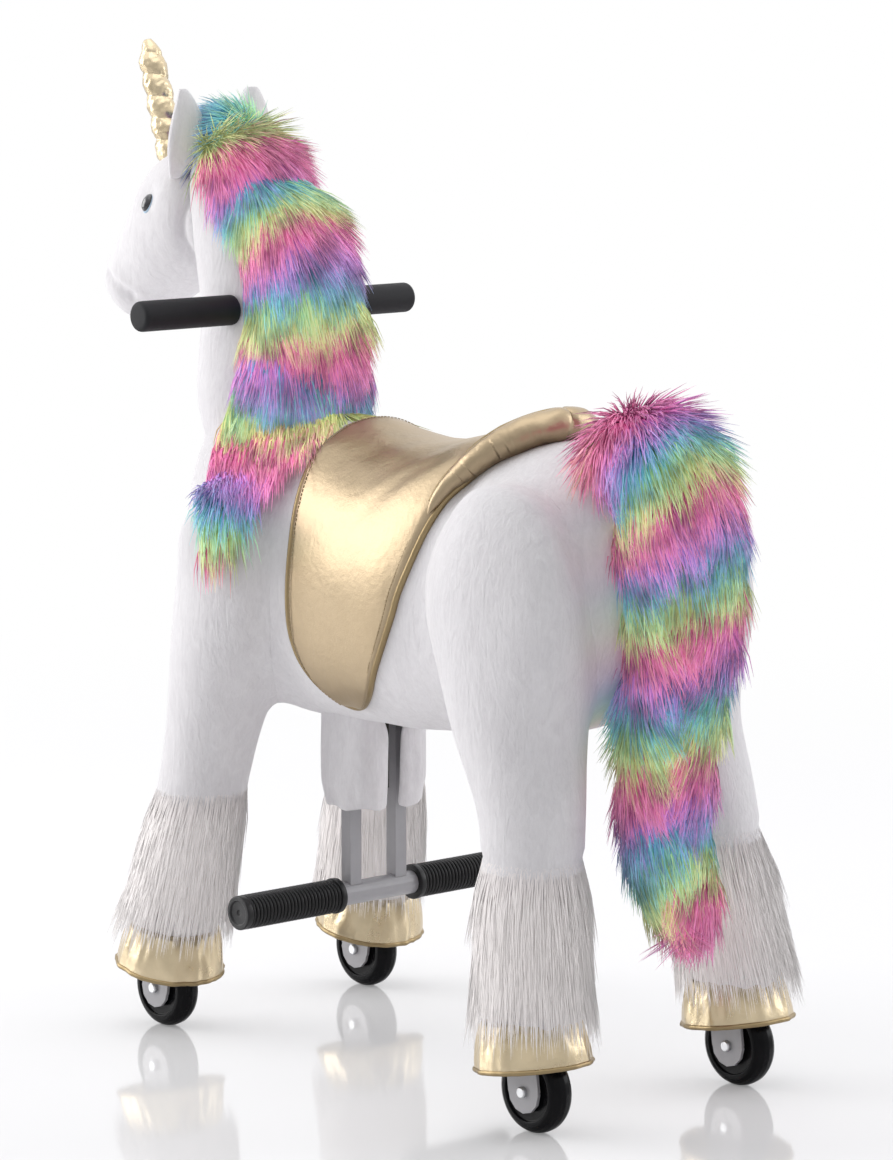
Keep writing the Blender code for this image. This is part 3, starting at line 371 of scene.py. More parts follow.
# %% Shared patterns: nap and grain
# Nap: fine fibres laid along z, gathered in soft clumps, for plush and fur fabric.
nap_group, given, made = shader_group("nap", ("Height", "Clumps", "Fibres"),
                                      Fibre_Scale=900.0, Clump_Scale=70.0, Lay=0.22)
stretch = node(nap_group, "ShaderNodeCombineXYZ", _0=1.0, _1=1.0, _2=given["Lay"]).outputs[0]
laid = node(nap_group, "ShaderNodeVectorMath", dict(operation="MULTIPLY"), _0=given["Vector"], _1=stretch)
laid = laid.outputs[0]
fibres = node(nap_group, "ShaderNodeTexNoise", Vector=laid, Scale=given["Fibre Scale"], Detail=3.0,
              Roughness=0.6, Distortion=0.4).outputs["Fac"]
clumps = node(nap_group, "ShaderNodeTexNoise", Vector=laid, Scale=given["Clump Scale"], Detail=2.0,
              Roughness=0.5, Distortion=1.2).outputs["Fac"]
fed(nap_group, made, Height=weighted(nap_group, clumps, (fibres, 0.45)), Clumps=clumps, Fibres=fibres)

# Grain: a fine cellular skin and patches of wear, for coated fabric, rubber and foam.
grain_group, given, made = shader_group("grain", ("Height", "Wear"), Scale=700.0, Wear_Scale=30.0)
cells = node(grain_group, "ShaderNodeTexVoronoi", dict(feature="SMOOTH_F1"), Vector=given["Vector"],
             Scale=given["Scale"], Randomness=1.0)
wear = node(grain_group, "ShaderNodeTexNoise", Vector=given["Vector"], Scale=given["Wear Scale"],
            Detail=4.0, Roughness=0.6)
fed(grain_group, made, Height=cells.outputs["Distance"], Wear=wear.outputs["Fac"])
print("groups", [group.name for group in bpy.data.node_groups])

# %% Plush
# Short white pile: fine fibres that lie downwards, in soft clumps.
white_plush, tree, shader = material("white_plush", Roughness=0.9, Sheen_Weight=0.35, Sheen_Roughness=0.5)
nap = placed_group(tree, nap_group, Fibre_Scale=520.0, Clump_Scale=110.0, Lay=0.32)
tone = noise_on(tree, Scale=14.0, Detail=2.0)
share = weighted(tree, 0.0, (nap["Clumps"], 0.9), (nap["Fibres"], 0.7), (tone, -0.5))
fed(tree, shader, Base_Color=mixed_colour(tree, share, (0.7, 0.68, 0.7), (0.87, 0.855, 0.87)))
bumped(tree, shader, nap["Height"], 0.5, 0.002)
print("plush", white_plush.name)

# %% Rainbow fur
# A root's attribute says how many bands lie before it.  Its fraction picks the colour, and the
# whole lock keeps that colour, so the bands break up into pointed tufts.
BANDS = (
    (0.0, (0.98, 0.09, 0.34)),
    (0.18, (0.96, 0.12, 0.5)),
    (0.3, (0.66, 0.16, 0.74)),
    (0.41, (0.26, 0.17, 0.66)),
    (0.5, (0.07, 0.38, 0.7)),
    (0.6, (0.08, 0.66, 0.68)),
    (0.7, (0.4, 0.82, 0.28)),
    (0.9, (0.9, 0.92, 0.26)),
    (1.0, (0.98, 0.09, 0.34)),
)


def attribute(tree, name):
    return node(tree, "ShaderNodeAttribute", dict(attribute_name=name)).outputs["Fac"]


def painted_fibre_glow(tree, shader, colour, root, tip):
    """A painted glow in the fibres' own colour, weak at the root and stronger at the tip, stands in for
    light that soaks through fine fibres and fills their shade.
    """
    share = weighted(tree, root, (attribute(tree, "tip"), tip - root))
    fed(tree, shader, Emission_Color=mixed_colour(tree, share, (0, 0, 0), colour), Emission_Strength=1.0)


rainbow_fur, tree, shader = material("rainbow_fur", Roughness=0.55, Specular_IOR_Level=0.35)
band = math_node(tree, "ADD", attribute(tree, "along"), attribute(tree, "shift"))
colour = ramp(tree, math_node(tree, "FRACT", band), BANDS)
# the tips are paler: a painted highlight along the ends of the locks
painted_tip_highlight = mixed_colour(tree, 0.4, colour, (0.97, 0.95, 0.97))
colour = mixed_colour(tree, weighted(tree, 0.0, (attribute(tree, "tip"), 0.8)), colour, painted_tip_highlight)
dark = mixed_colour(tree, 1.0, colour, (0.84, 0.8, 0.88), "MULTIPLY")
nap = placed_group(tree, nap_group, Fibre_Scale=1400.0, Clump_Scale=240.0, Lay=0.12)
streak = math_node(tree, "MULTIPLY", nap["Fibres"], 1.6, clamp=True)
colour = mixed_colour(tree, math_node(tree, "SUBTRACT", streak, 0.1, clamp=True), dark, colour)
# each lock has its own brightness, and painted shade darkens the hollows between tufts
own = math_node(tree, "FRACT", math_node(tree, "MULTIPLY", attribute(tree, "shift"), 91.7))
painted_shade_and_lock_tone = weighted(tree, 0.08, (noise_on(tree, Scale=34.0, Detail=2.0), 1.7))
painted_shade_and_lock_tone = math_node(tree, "MINIMUM", painted_shade_and_lock_tone, 1.12)
painted_shade_and_lock_tone = math_node(tree, "MULTIPLY", painted_shade_and_lock_tone, weighted(tree, 0.74, (own, 0.5)))
colour = mixed_colour(tree, 1.0, colour, painted_shade_and_lock_tone, "MULTIPLY")
fed(tree, shader, Base_Color=colour)
# painted glow in the fur's own colour, stronger towards the tips
painted_fibre_glow(tree, shader, colour, 0.05, 0.28)
bumped(tree, shader, nap["Fibres"], 0.3, 0.0008)
print("bands", len(BANDS))

# %% Gold cloth, foam, rubber, steel
def gold_finish(name, light, deep, roughness):
    """Metallic foil on soft cloth: smooth, with small creases and duller patches."""
    made, tree, shader = material(name, Metallic=0.92)
    grain = placed_group(tree, grain_group, Scale=900.0, Wear_Scale=26.0)
    fed(tree, shader, Base_Color=mixed_colour(tree, grain["Wear"], deep, light),
        Roughness=weighted(tree, roughness - 0.08, (grain["Wear"], 0.22)))
    dents = noise_on(tree, Scale=120.0, Detail=3.0, Roughness=0.55)
    bumped(tree, shader, weighted(tree, dents, (grain["Height"], 0.15)), 0.32, 0.0016)
    return made


def grained_finish(name, colour, worn, roughness, scale, strength, **sockets):
    """Foam, rubber, moulded plastic and enamel: one colour with grain and a little wear."""
    made, tree, shader = material(name, **sockets)
    grain = placed_group(tree, grain_group, Scale=scale, Wear_Scale=60.0)
    fed(tree, shader, Base_Color=mixed_colour(tree, grain["Wear"], colour, worn),
        Roughness=weighted(tree, roughness - 0.09, (grain["Wear"], 0.18)))
    bumped(tree, shader, grain["Height"], strength, 0.0006)
    return made


gold_leather = gold_finish("gold_leather", (0.475, 0.375, 0.25), (0.36, 0.28, 0.175), 0.36)
gold_foil = gold_finish("gold_foil", (0.8, 0.68, 0.47), (0.5, 0.4, 0.25), 0.26)
gold_piping = gold_finish("gold_piping", (0.36, 0.275, 0.15), (0.27, 0.2, 0.105), 0.34)
GRAINED = (
    # name, colour, worn colour, roughness, scale of the grain, strength of its relief
    ("black_foam", (0.006, 0.006, 0.008), (0.018, 0.018, 0.021), 0.62, 1500.0, 0.4),
    ("black_rubber", (0.005, 0.005, 0.006), (0.014, 0.014, 0.015), 0.38, 900.0, 0.15),
    ("wheel_black", (0.003, 0.003, 0.004), (0.008, 0.008, 0.009), 0.2, 400.0, 0.05),
    # dark tape, and the painted shade in the belly's opening
    ("dark_lining", (0.02, 0.014, 0.012), (0.035, 0.026, 0.022), 0.9, 1200.0, 0.4),
    ("grey_enamel", (0.33, 0.325, 0.345), (0.4, 0.395, 0.41), 0.34, 700.0, 0.05),
    ("black_enamel", (0.012, 0.012, 0.014), (0.02, 0.02, 0.022), 0.35, 700.0, 0.05),
    ("bright_zinc", (0.55, 0.56, 0.58), (0.7, 0.71, 0.72), 0.3, 500.0, 0.08),
    ("eye_gloss", (0.004, 0.005, 0.008), (0.01, 0.012, 0.018), 0.12, 80.0, 0.0),
    ("eye_rim", (0.42, 0.58, 0.74), (0.55, 0.7, 0.82), 0.5, 600.0, 0.1),
    ("thread", (0.34, 0.25, 0.13), (0.46, 0.35, 0.2), 0.6, 2500.0, 0.4),
)
SHINE = {
    "black_foam": dict(Specular_IOR_Level=0.3),
    "black_rubber": dict(Specular_IOR_Level=0.35),
    "wheel_black": dict(Specular_IOR_Level=0.09),
    "grey_enamel": dict(Coat_Weight=0.3, Coat_Roughness=0.15),
    "bright_zinc": dict(Metallic=0.85),
    "eye_gloss": dict(Coat_Weight=1.0, Coat_Roughness=0.02),
}
(black_foam, black_rubber, wheel_black, dark_lining, grey_enamel, black_enamel, bright_zinc, eye_gloss,
 eye_rim, thread) = (grained_finish(*look, **SHINE.get(look[0], {})) for look in GRAINED)
print("finishes", len(bpy.data.materials))

# %% [markdown]
# ## The skin
#
# The body, the legs and the neck are one plush skin on the real toy, with the legs gathered
# into the haunches.  Each is built as a stuffed form through rings.  A copy of all of them is
# then fused with Voxel Remesh and smoothed, and every form is laid onto that fused surface.
# So they meet without a crease, and still stay separate pieces.

# %% Rings of the stuffed forms
BODY_POWER = 2.4        # how square the body's sections are, where 2 is an ellipse
BODY_RINGS = (      # y, half width, lowest and highest point
    (-0.322, 0.05, 0.44, 0.578), (-0.3, 0.082, 0.375, 0.612), (-0.25, 0.098, 0.328, 0.622),
    (-0.18, 0.103, 0.312, 0.61), (-0.01, 0.125, 0.322, 0.579), (0.08, 0.121, 0.327, 0.596),
    (0.215, 0.1, 0.345, 0.623), (0.268, 0.086, 0.375, 0.602), (0.296, 0.052, 0.44, 0.555),
)
FRONT_LEG_RINGS = (     # x, y, z, half width, half depth
    (0.104, -0.188, 0.55, 0.02, 0.034), (0.107, -0.188, 0.512, 0.036, 0.056),
    (0.109, -0.189, 0.455, 0.047, 0.069), (0.106, -0.2, 0.395, 0.053, 0.066),
    (0.105, -0.218, 0.33, 0.048, 0.054), (0.112, -0.232, 0.26, 0.043, 0.044),
    (0.121, -0.252, 0.16, 0.05, 0.052), (0.13, -0.268, 0.072, 0.046, 0.048),
)
REAR_LEG_RINGS = (
    (0.1, 0.196, 0.585, 0.022, 0.04), (0.105, 0.2, 0.548, 0.039, 0.072),
    (0.11, 0.203, 0.48, 0.051, 0.095), (0.101, 0.207, 0.42, 0.058, 0.087),
    (0.093, 0.206, 0.36, 0.062, 0.067), (0.107, 0.238, 0.3, 0.05, 0.053),
    (0.113, 0.248, 0.26, 0.045, 0.046), (0.124, 0.261, 0.155, 0.05, 0.052),
    (0.13, 0.27, 0.072, 0.046, 0.048),
)
NECK_RINGS = (      # x, y, z, half width, half depth, tilt
    (0, -0.258, 0.56, 0.06, 0.06, 0), (0, -0.262, 0.604, 0.077, 0.076, 0),
    (0, -0.263, 0.645, 0.071, 0.076, 0), (0, -0.27, 0.7, 0.058, 0.072, 0),
    (0, -0.282, 0.755, 0.057, 0.068, 0), (0, -0.3, 0.81, 0.056, 0.064, 0),
    (0, -0.315, 0.855, 0.048, 0.05, 0), (0, -0.318, 0.88, 0.026, 0.028, 0),
)
HEAD_RINGS = (
    (0, -0.318, 0.805, 0.04, 0.048, 120), (0, -0.345, 0.81, 0.058, 0.067, 120),
    (0, -0.386, 0.794, 0.061, 0.068, 121), (0, -0.418, 0.765, 0.053, 0.057, 123),
    (0, -0.446, 0.74, 0.046, 0.047, 126), (0, -0.469, 0.719, 0.045, 0.045, 128),
    (0, -0.489, 0.705, 0.033, 0.034, 130),
)
SIDES = (("left", 1), ("right", -1))
LEG_RINGS = {"front": FRONT_LEG_RINGS, "rear": REAR_LEG_RINGS}
sections = [(0, y, (low + high) / 2, half, (high - low) / 2, 90) for y, half, low, high in BODY_RINGS]
forms = {
    "plush_body": ring_form("plush_body", sections, white_plush, power=BODY_POWER, levels=4),
    "plush_neck": ring_form("plush_neck", NECK_RINGS, white_plush),
}
for side_name, side in SIDES:
    for part, rings in LEG_RINGS.items():
        name = f"plush_{part}_leg_{side_name}"
        sections = [(x * side, y, z, half_w, half_d, 0) for x, y, z, half_w, half_d in rings]
        forms[name] = ring_form(name, sections, white_plush, sides=10)
print({name: len(form.data.vertices) for name, form in forms.items()})

# %% Fuse a copy and smooth it
VOXEL = 0.006
SMOOTHING = 10      # rounds that take the voxel steps away
FILLING = 150       # rounds that find how far the creases between the forms fill up
FILL_LIMIT, FILL_SHARE = 0.03, 0.85


def fused_copy(name, rounds):
    shape = bmesh.new()
    for form in forms.values():
        shape.from_mesh(form.data)
    piece = new_piece(name, shape, outward=False)
    modifier(piece, "REMESH", mode="VOXEL", voxel_size=VOXEL)
    modifier(piece, "SMOOTH", factor=0.5, iterations=rounds)
    return settled(piece)


def tree_of(piece):
    points = [vertex.co.copy() for vertex in piece.data.vertices]
    return BVHTree.FromPolygons(points, [face.vertices[:] for face in piece.data.polygons])


def depth_in(tree, point):
    """How far a point lies inside a closed form, or a negative distance outside."""
    near, normal, _, distance = tree.find_nearest(point)
    return distance if (point - near).dot(normal) < 0 else -distance


fused = fused_copy("fused_skin", SMOOTHING)
flowed = fused_copy("flowed_skin", FILLING)
for vertex, goal in zip(fused.data.vertices, flowed.data.vertices):
    outward = (goal.co - vertex.co).dot(vertex.normal)
    if outward > 0:
        vertex.co += vertex.normal * min(outward, FILL_LIMIT) * FILL_SHARE
bpy.data.objects.remove(flowed)
modifier(fused, "SMOOTH", factor=0.5, iterations=8)
settled(fused)
skin_tree = tree_of(fused)
print("fused skin", len(fused.data.vertices), "points")

# %% Lay each form on the fused skin
NEAR = 0.026        # hidden points within this of the skin follow it just beneath
FAR = 0.045         # and points deeper than this stay where they are
SINK, SINK_SHARE = 0.0045, 0.16
form_trees = {name: tree_of(form) for name, form in forms.items()}
for name, form in forms.items():
    others = [tree for other, tree in form_trees.items() if other != name]
    for vertex in form.data.vertices:
        near, normal, _, distance = skin_tree.find_nearest(vertex.co)
        depth = max(depth_in(tree, vertex.co) for tree in others)
        if depth <= 0:
            vertex.co = near
        else:
            beneath = near - normal * min(SINK, depth * SINK_SHARE)
            vertex.co = vertex.co.lerp(beneath, 1 - smoothstep(NEAR, FAR, distance))
    form.data.update()
bpy.data.objects.remove(fused)
print("forms laid on the skin")

# %% [markdown]
# ## Sewn shape: seams and folds
#
# A stuffed skin is pulled in along its seams.  A small helper presses a groove along a line
# of points that is given in side view.  It moves only the points near that line, by a smooth
# bell curve, so the fabric beside the seam stays round.

# %% Press seams into the plush
def pushed(piece, push):
    """Move each point along its normal by what push returns for its place."""
    normals = [vertex.normal.copy() for vertex in piece.data.vertices]
    for vertex, normal in zip(piece.data.vertices, normals):
        vertex.co += normal * push(vertex.co)
    piece.data.update()


def pressed(piece, line, depth, width, x_from=0.0):
    """Press a groove along a line of (y, z) points, on the flanks of a piece."""
    path = [(y + BODY_SHIFT, z) for y, z in line]

    def groove(place):
        best = 1.0
        for (ay, az), (by, bz) in zip(path, path[1:]):
            dy, dz = by - ay, bz - az
            share = ((place.y - ay) * dy + (place.z - az) * dz) / (dy * dy + dz * dz)
            share = min(1.0, max(0.0, share))
            best = min(best, math.hypot(place.y - ay - dy * share, place.z - az - dz * share))
        on_line = abs(place.x) >= x_from and best < 3 * width
        return -depth * math.exp(-((best / width) ** 2)) if on_line else 0.0

    pushed(piece, groove)


HAUNCH_SEAM = ((0.115, 0.575), (0.112, 0.52), (0.12, 0.46), (0.135, 0.4), (0.15, 0.35))
TUFT_SEAM = ((-0.5, 0.25), (0.6, 0.25))
pressed(forms["plush_body"], HAUNCH_SEAM, 0.005, 0.02, x_from=0.05)
for name, form in forms.items():
    if "leg" in name:
        pressed(form, TUFT_SEAM, 0.0022, 0.0035)
print("creases in front of the haunches and over the tufts")

# %% Pad the shoulders over the steering rod
ROD_END = Vector((0.137, -0.157, 0.501))    # the rod ends this close under the skin, on both sides
ROD_PADDING, ROD_REACH = 0.011, 0.032
for name in ("plush_body", "plush_front_leg_left", "plush_front_leg_right"):
    pushed(forms[name], lambda p: ROD_PADDING * math.exp(
        -(((Vector((abs(p.x), p.y, p.z)) - ROD_END).length / ROD_REACH) ** 2)))
print("padding over the rod", ROD_PADDING)

# %% Rumple the plush a little
def rumpled(piece, size, depth, stretch=(1.0, 1.0, 0.6)):
    """Soft lumps of stuffing, which keep a large form from looking machined."""
    pushed(piece, lambda p: depth * noise.noise(Vector([c * s for c, s in zip(p, stretch)]) / size))


TRUNK, HEAD = "body_and_frame", "head_and_handlebar"    # the two bodies with most of the pieces
for form in forms.values():
    rumpled(form, 0.055, 0.0022)
dressed(forms["plush_body"], TRUNK, "body")
for side_name, side in SIDES:
    for part, rings in LEG_RINGS.items():
        leg = forms[f"plush_{part}_leg_{side_name}"]
        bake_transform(leg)
        dressed(leg, None, f"{part}_leg_{side_name}")
neck = forms["plush_neck"]
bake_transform(neck)
dressed(neck, None, "neck")
print("skin pieces", len(forms))

# %% [markdown]
# ## Head
#
# The head is a stuffed form of its own, sewn over the top of the neck.  The muzzle is longer
# than it is deep, the cheek has a curved seam that runs down from behind the eye, and the
# corner of the mouth is a soft fold.

# %% Head with cheek seam and mouth fold
CHEEK_SEAM = ((-0.33, 0.85), (-0.335, 0.815), (-0.341, 0.78), (-0.343, 0.745), (-0.341, 0.725))
MOUTH_FOLD = ((-0.474, 0.732), (-0.458, 0.722), (-0.44, 0.712))
EYE_SOCKET = ((-0.396, 0.816), (-0.388, 0.816))
head = ring_form("plush_head", HEAD_RINGS, white_plush, levels=4)
pressed(head, CHEEK_SEAM, 0.0045, 0.0045, x_from=0.02)
pressed(head, CHEEK_SEAM, 0.003, 0.014, x_from=0.02)
pressed(head, MOUTH_FOLD, 0.0045, 0.006, x_from=0.012)
pressed(head, EYE_SOCKET, 0.004, 0.014, x_from=0.02)
rumpled(head, 0.045, 0.0016)
dressed(head, HEAD, "head")
head_tree = tree_of(head)
print("head", len(head.data.vertices))
# %% Ears: a cupped leaf with a gold lining
EAR_FOOT = Vector((0.042, -0.349 + BODY_SHIFT, 0.845))
EAR_HEIGHT = 0.078
EAR_CUP = (     # share of the height, reach of the back, half width, and how far it wraps
    (-0.14, 0.004, 0.004, 106), (-0.02, 0.013, 0.0095, 106), (0.12, 0.0235, 0.0155, 105),
    (0.32, 0.03, 0.019, 104), (0.55, 0.027, 0.0175, 103), (0.76, 0.018, 0.0125, 102),
    (0.92, 0.0095, 0.007, 100), (1.0, 0.003, 0.0025, 98),
)
EAR_STEPS = 14


def ear_sheet(name, side, inset, finish, thickness, wrap=1.0):
    back = Vector((-0.8 * side, 0.6, 0.0))
    across = Vector((0.6 * side, 0.8, 0.0))
    lean = Vector((0.05 * side, 0.02, 1.0)).normalized()
    foot = Vector((EAR_FOOT.x * side, EAR_FOOT.y, EAR_FOOT.z))
    rows = []
    for rise, reach, half, angle in EAR_CUP:
        rows.append([])
        for k in range(EAR_STEPS + 1):
            turn = math.radians(angle * wrap) * (2 * k / EAR_STEPS - 1)
            where = foot + lean * EAR_HEIGHT * rise
            where += back * ((reach - inset) * math.cos(turn) - 0.01 * (1 - rise))
            where += across * (half - inset) * math.sin(turn)
            rows[-1].append(where)
    return thick_sheet(name, rows, finish, thickness, 2)


for side_name, side in SIDES:
    ear = ear_sheet(f"plush_ear_{side_name}", side, 0.0, white_plush, 0.006)
    inner_sheet = ear_sheet(f"ear_lining_{side_name}", side, 0.0036, gold_leather, 0.0016, wrap=0.97)
    dressed(ear, HEAD, f"ear_{side_name}")
    dressed(inner_sheet, HEAD)
print("ears", EAR_HEIGHT)

# %% Eyes
EYE_AT = Vector((0.053, -0.393 + BODY_SHIFT, 0.815))


def dome(name, centre, radii, out, finish):
    """A full ellipsoid whose short axis points outwards from the head."""
    shape = bmesh.new()
    bmesh.ops.create_uvsphere(shape, u_segments=28, v_segments=14, radius=1.0)
    turn = out.to_track_quat("Z", "Y").to_matrix().to_4x4()
    bmesh.ops.transform(shape, matrix=Matrix.Translation(centre) @ turn @ Matrix.Diagonal((*radii, 1)),
                        verts=shape.verts)
    return new_piece(name, shape, finish)


for side_name, side in SIDES:
    guess = Vector((EYE_AT.x * side * 1.3, EYE_AT.y, EYE_AT.z))
    on_face, out, _, _ = head_tree.find_nearest(guess)
    eye = dome(f"eye_ball_{side_name}", on_face + out * 0.0008, (0.0072, 0.0094, 0.0052), out, eye_gloss)
    rim = dome(f"eye_rim_{side_name}", on_face - out * 0.0006, (0.0086, 0.0108, 0.0028), out, eye_rim)
    dressed(eye, HEAD, f"eye_{side_name}")
    dressed(rim, HEAD)
print("eyes set on the face")

# %% [markdown]
# ## Horn
#
# The horn is a stuffed cone of gold foil cloth, wound with a thread that pulls it in along a
# spiral.  Its radius follows a rule, so a Geometry Nodes tree could grow it, but a short loop
# over angle and height is easier to read: the radius dips wherever the spiral passes.

# %% Spiral horn
HORN_FOOT = Vector((0, -0.414 + BODY_SHIFT, 0.838))
HORN_TIP = Vector((0, -0.458 + BODY_SHIFT, 0.968))
HORN_RADIUS = 0.0165
HORN_TURNS = 6.5
HORN_ROWS, HORN_STEPS = 150, 48
axis = HORN_TIP - HORN_FOOT
turn = axis.to_track_quat("Z", "Y").to_matrix()
rows = []
for j in range(HORN_ROWS + 1):
    rise = j / HORN_ROWS
    radius = HORN_RADIUS * mix(1.0, 0.8, rise) * min(1.0, (1.02 - rise) / 0.16) ** 0.55
    rows.append([])
    for k in range(HORN_STEPS):
        angle = 2 * math.pi * k / HORN_STEPS
        c, s = math.cos(angle), math.sin(angle)
        wave = abs(math.sin(math.pi * (HORN_TURNS * rise + k / HORN_STEPS)))
        crease = noise.noise(Vector((c * 3.4, s * 3.4, rise * 30)))
        pucker = noise.noise(Vector((c * 9.0, s * 9.0, rise * 14)))
        r = radius * (0.77 + 0.23 * wave ** 0.6 + 0.075 * crease + 0.045 * pucker * (1.2 - wave))
        rows[-1].append(HORN_FOOT + axis * (1.1 * rise - 0.1) + turn @ Vector((r * c, r * s, 0)))
dressed(round_form("gold_horn", rows, gold_foil), HEAD, "horn")
print("horn", round((HORN_TIP - HORN_FOOT).length, 3), "m long,", HORN_TURNS, "turns")

# %% [markdown]
# ## Saddle
#
# The saddle is a panel of gold foil cloth over a thin pad.  It hangs down both flanks as
# pointed flaps, and its rear edge ends in a stuffed roll, the cantle.  Each point is found by
# a ray from inside the body, so the panel follows the plush under it.  The pad is given by a
# thickness that rounds off to nothing at the piped edges.

# %% Where the saddle lies
SADDLE_EDGES = (    # degrees from the top, then y of the front and rear edges
    (0, -0.12, 0.176), (20, -0.113, 0.15), (40, -0.108, 0.106), (60, -0.1, 0.095),
    (80, -0.094, 0.083), (95, -0.098, 0.06), (108, -0.098, 0.038), (120, -0.086, 0.018),
    (130, -0.066, 0.004), (140, -0.05, -0.006),
)
SWEEP_END = 140.5
ROUND_FROM = 122.0      # below this the flap's outline closes like the end of an ellipse
body_tree = tree_of(forms["plush_body"])
sweeps, fronts, rears = (np.array(column) for column in zip(*SADDLE_EDGES))


def body_section(y):
    """Half width, lowest and highest point of the body at y."""
    for near, far in zip(BODY_RINGS, BODY_RINGS[1:]):
        if near[0] <= y <= far[0]:
            share = smoothstep(near[0], far[0], y)
            return [mix(a, b, share) for a, b in zip(near[1:], far[1:])]
    return BODY_RINGS[-1][1:]


def smooth_edge(values, sweep):
    """An edge's y at a sweep, averaged over a few degrees so that it bends softly."""
    spread = np.linspace(-9, 9, 13)
    return float(np.mean(np.interp(np.abs(abs(sweep) + spread), sweeps, values)))


def saddle_span(sweep):
    """The front and rear edge's y at a sweep, with a rounded end to each flap."""
    front, rear = smooth_edge(fronts, sweep), smooth_edge(rears, sweep)
    past = max(0.0, (abs(sweep) - ROUND_FROM) / (SWEEP_END - ROUND_FROM))
    half = (rear - front) / 2 * math.sqrt(max(0.0004, 1 - past ** 2.2))
    middle = (rear + front) / 2 - 0.002 * past ** 2
    return middle - half, middle + half


def on_body(y, sweep):
    """A point on the body at y and at degrees from the top, and the way out there."""
    half, low, high = body_section(y)
    angle = math.radians(90 - sweep)
    c, s = math.cos(angle), math.sin(angle)
    out = Vector((half * math.copysign(abs(c) ** (2 / BODY_POWER), c), 0,
                  (high - low) / 2 * math.copysign(abs(s) ** (2 / BODY_POWER), s))).normalized()
    centre = Vector((0, y + BODY_SHIFT, (low + high) / 2))
    hit, normal, _, _ = body_tree.ray_cast(centre + out * 0.6, -out)
    return hit, (normal + out).normalized()


# %% Saddle panel
SADDLE_ROWS, SADDLE_COLUMNS = 170, 44
PANEL_T = 0.0058
PAD_T = 0.013      # more thickness on top, for the seat


def row_sweep(j, rows, reach=1.0):
    """Rows lie closer together towards the rounded ends of the flaps."""
    share = 2 * j / rows - 1
    return SWEEP_END * reach * math.copysign(1 - (1 - abs(share)) ** 1.6, share)


def saddle_height(share, sweep):
    """Thickness of the panel: round at its edges, padded on top, with a dip for the seat."""
    edge = min(share, 1 - share) * 2
    end = min(1.0, (SWEEP_END - abs(sweep)) / 4)
    round_off = min(1.0, (1 - (1 - min(1.0, edge / 0.085)) ** 2)) ** 0.5
    top = math.cos(math.pi / 2 * min(1.0, abs(sweep) / 66)) ** 2
    pad = top * PAD_T * (0.62 + 0.38 * smoothstep(0.45, 0.95, share))
    return (PANEL_T + pad) * (0.16 + 0.84 * round_off * end ** 0.5)


def saddle_point(share, sweep, lift=0.0):
    spot, out = on_body(mix(*saddle_span(sweep), share), sweep)
    return spot + out * (saddle_height(share, sweep) + lift), out


def saddle_folds(share, sweep):
    """Soft diagonal folds near the top of the flaps, and small creases along the edges."""
    high = math.exp(-((abs(sweep) - 34) / 24) ** 2)
    wave = noise.noise(Vector((share * 6.0 + sweep * 0.06, sweep * 0.012, 3.0)))
    wide = noise.noise(Vector((share * 1.7, sweep * 0.016, 7.0)))
    gather = math.exp(-min(share, 1 - share) / 0.07) * noise.noise(Vector((share, sweep * 0.2, 1.0)))
    return 0.0018 * high * wave + 0.0022 * wide + 0.0009 * gather


shape = bmesh.new()
upper, lower = [], []
for j in range(SADDLE_ROWS + 1):
    sweep = row_sweep(j, SADDLE_ROWS)
    upper.append([])
    lower.append([])
    for k in range(SADDLE_COLUMNS + 1):
        share = 0.5 - 0.5 * math.cos(math.pi * k / SADDLE_COLUMNS)
        spot, out = saddle_point(share, sweep)
        upper[-1].append(shape.verts.new(spot + out * saddle_folds(share, sweep)))
        lower[-1].append(shape.verts.new(spot - out * (saddle_height(share, sweep) + 0.003)))
faces_between(shape, upper)
faces_between(shape, lower)
for end in (0, -1):
    faces_between(shape, [[row[end] for row in lower], [row[end] for row in upper]])
    faces_between(shape, [lower[end], upper[end]])
saddle = dressed(new_piece("saddle_panel", shape, gold_leather), TRUNK, "saddle")
print("saddle panel", len(saddle.data.polygons), "faces")

# %% Tubes that follow a path, for piping and rolls
def tube(name, path, radius, finish, sides, closed=False):
    """A tube along points.  radius is a function of the share of the length."""
    count = len(path)
    rings = []
    side_way = None
    for k, point in enumerate(path):
        ahead = path[(k + 1) % count] if closed else path[min(k + 1, count - 1)]
        behind = path[k - 1] if closed or k else path[0]
        way = (ahead - behind).normalized()
        if side_way is None:
            side_way = way.orthogonal().normalized()
        side_way = (side_way - way * side_way.dot(way)).normalized()
        up = way.cross(side_way)
        r = radius(k / (count - 1))
        rings.append([point + side_way * r * math.cos(a) + up * r * math.sin(a)
                      for a in (2 * math.pi * n / sides for n in range(sides))])
    return round_form(name, rings, finish, loop=closed)


PIPING_R = 0.0033


def edge_path(share, lift, steps=200, reach=1.0):
    return [saddle_point(share, row_sweep(k, steps, reach), lift)[0] for k in range(steps + 1)]


def chain_measure(chain):
    """How far along a chain each of its points lies."""
    lengths = [0.0]
    for a, b in zip(chain, chain[1:]):
        lengths.append(lengths[-1] + (b - a).length)
    return lengths


def evenly(path, count=None, gap=None):
    """The same path with points an even distance apart, and its length.

    Even gaps keep a tube round in bends."""
    far = chain_measure(path)
    marks = np.linspace(0, far[-1], count or int(far[-1] / gap))
    columns = [np.interp(marks, far, [point[axis] for point in path]) for axis in range(3)]
    return [Vector(spot) for spot in zip(*columns)], far[-1]


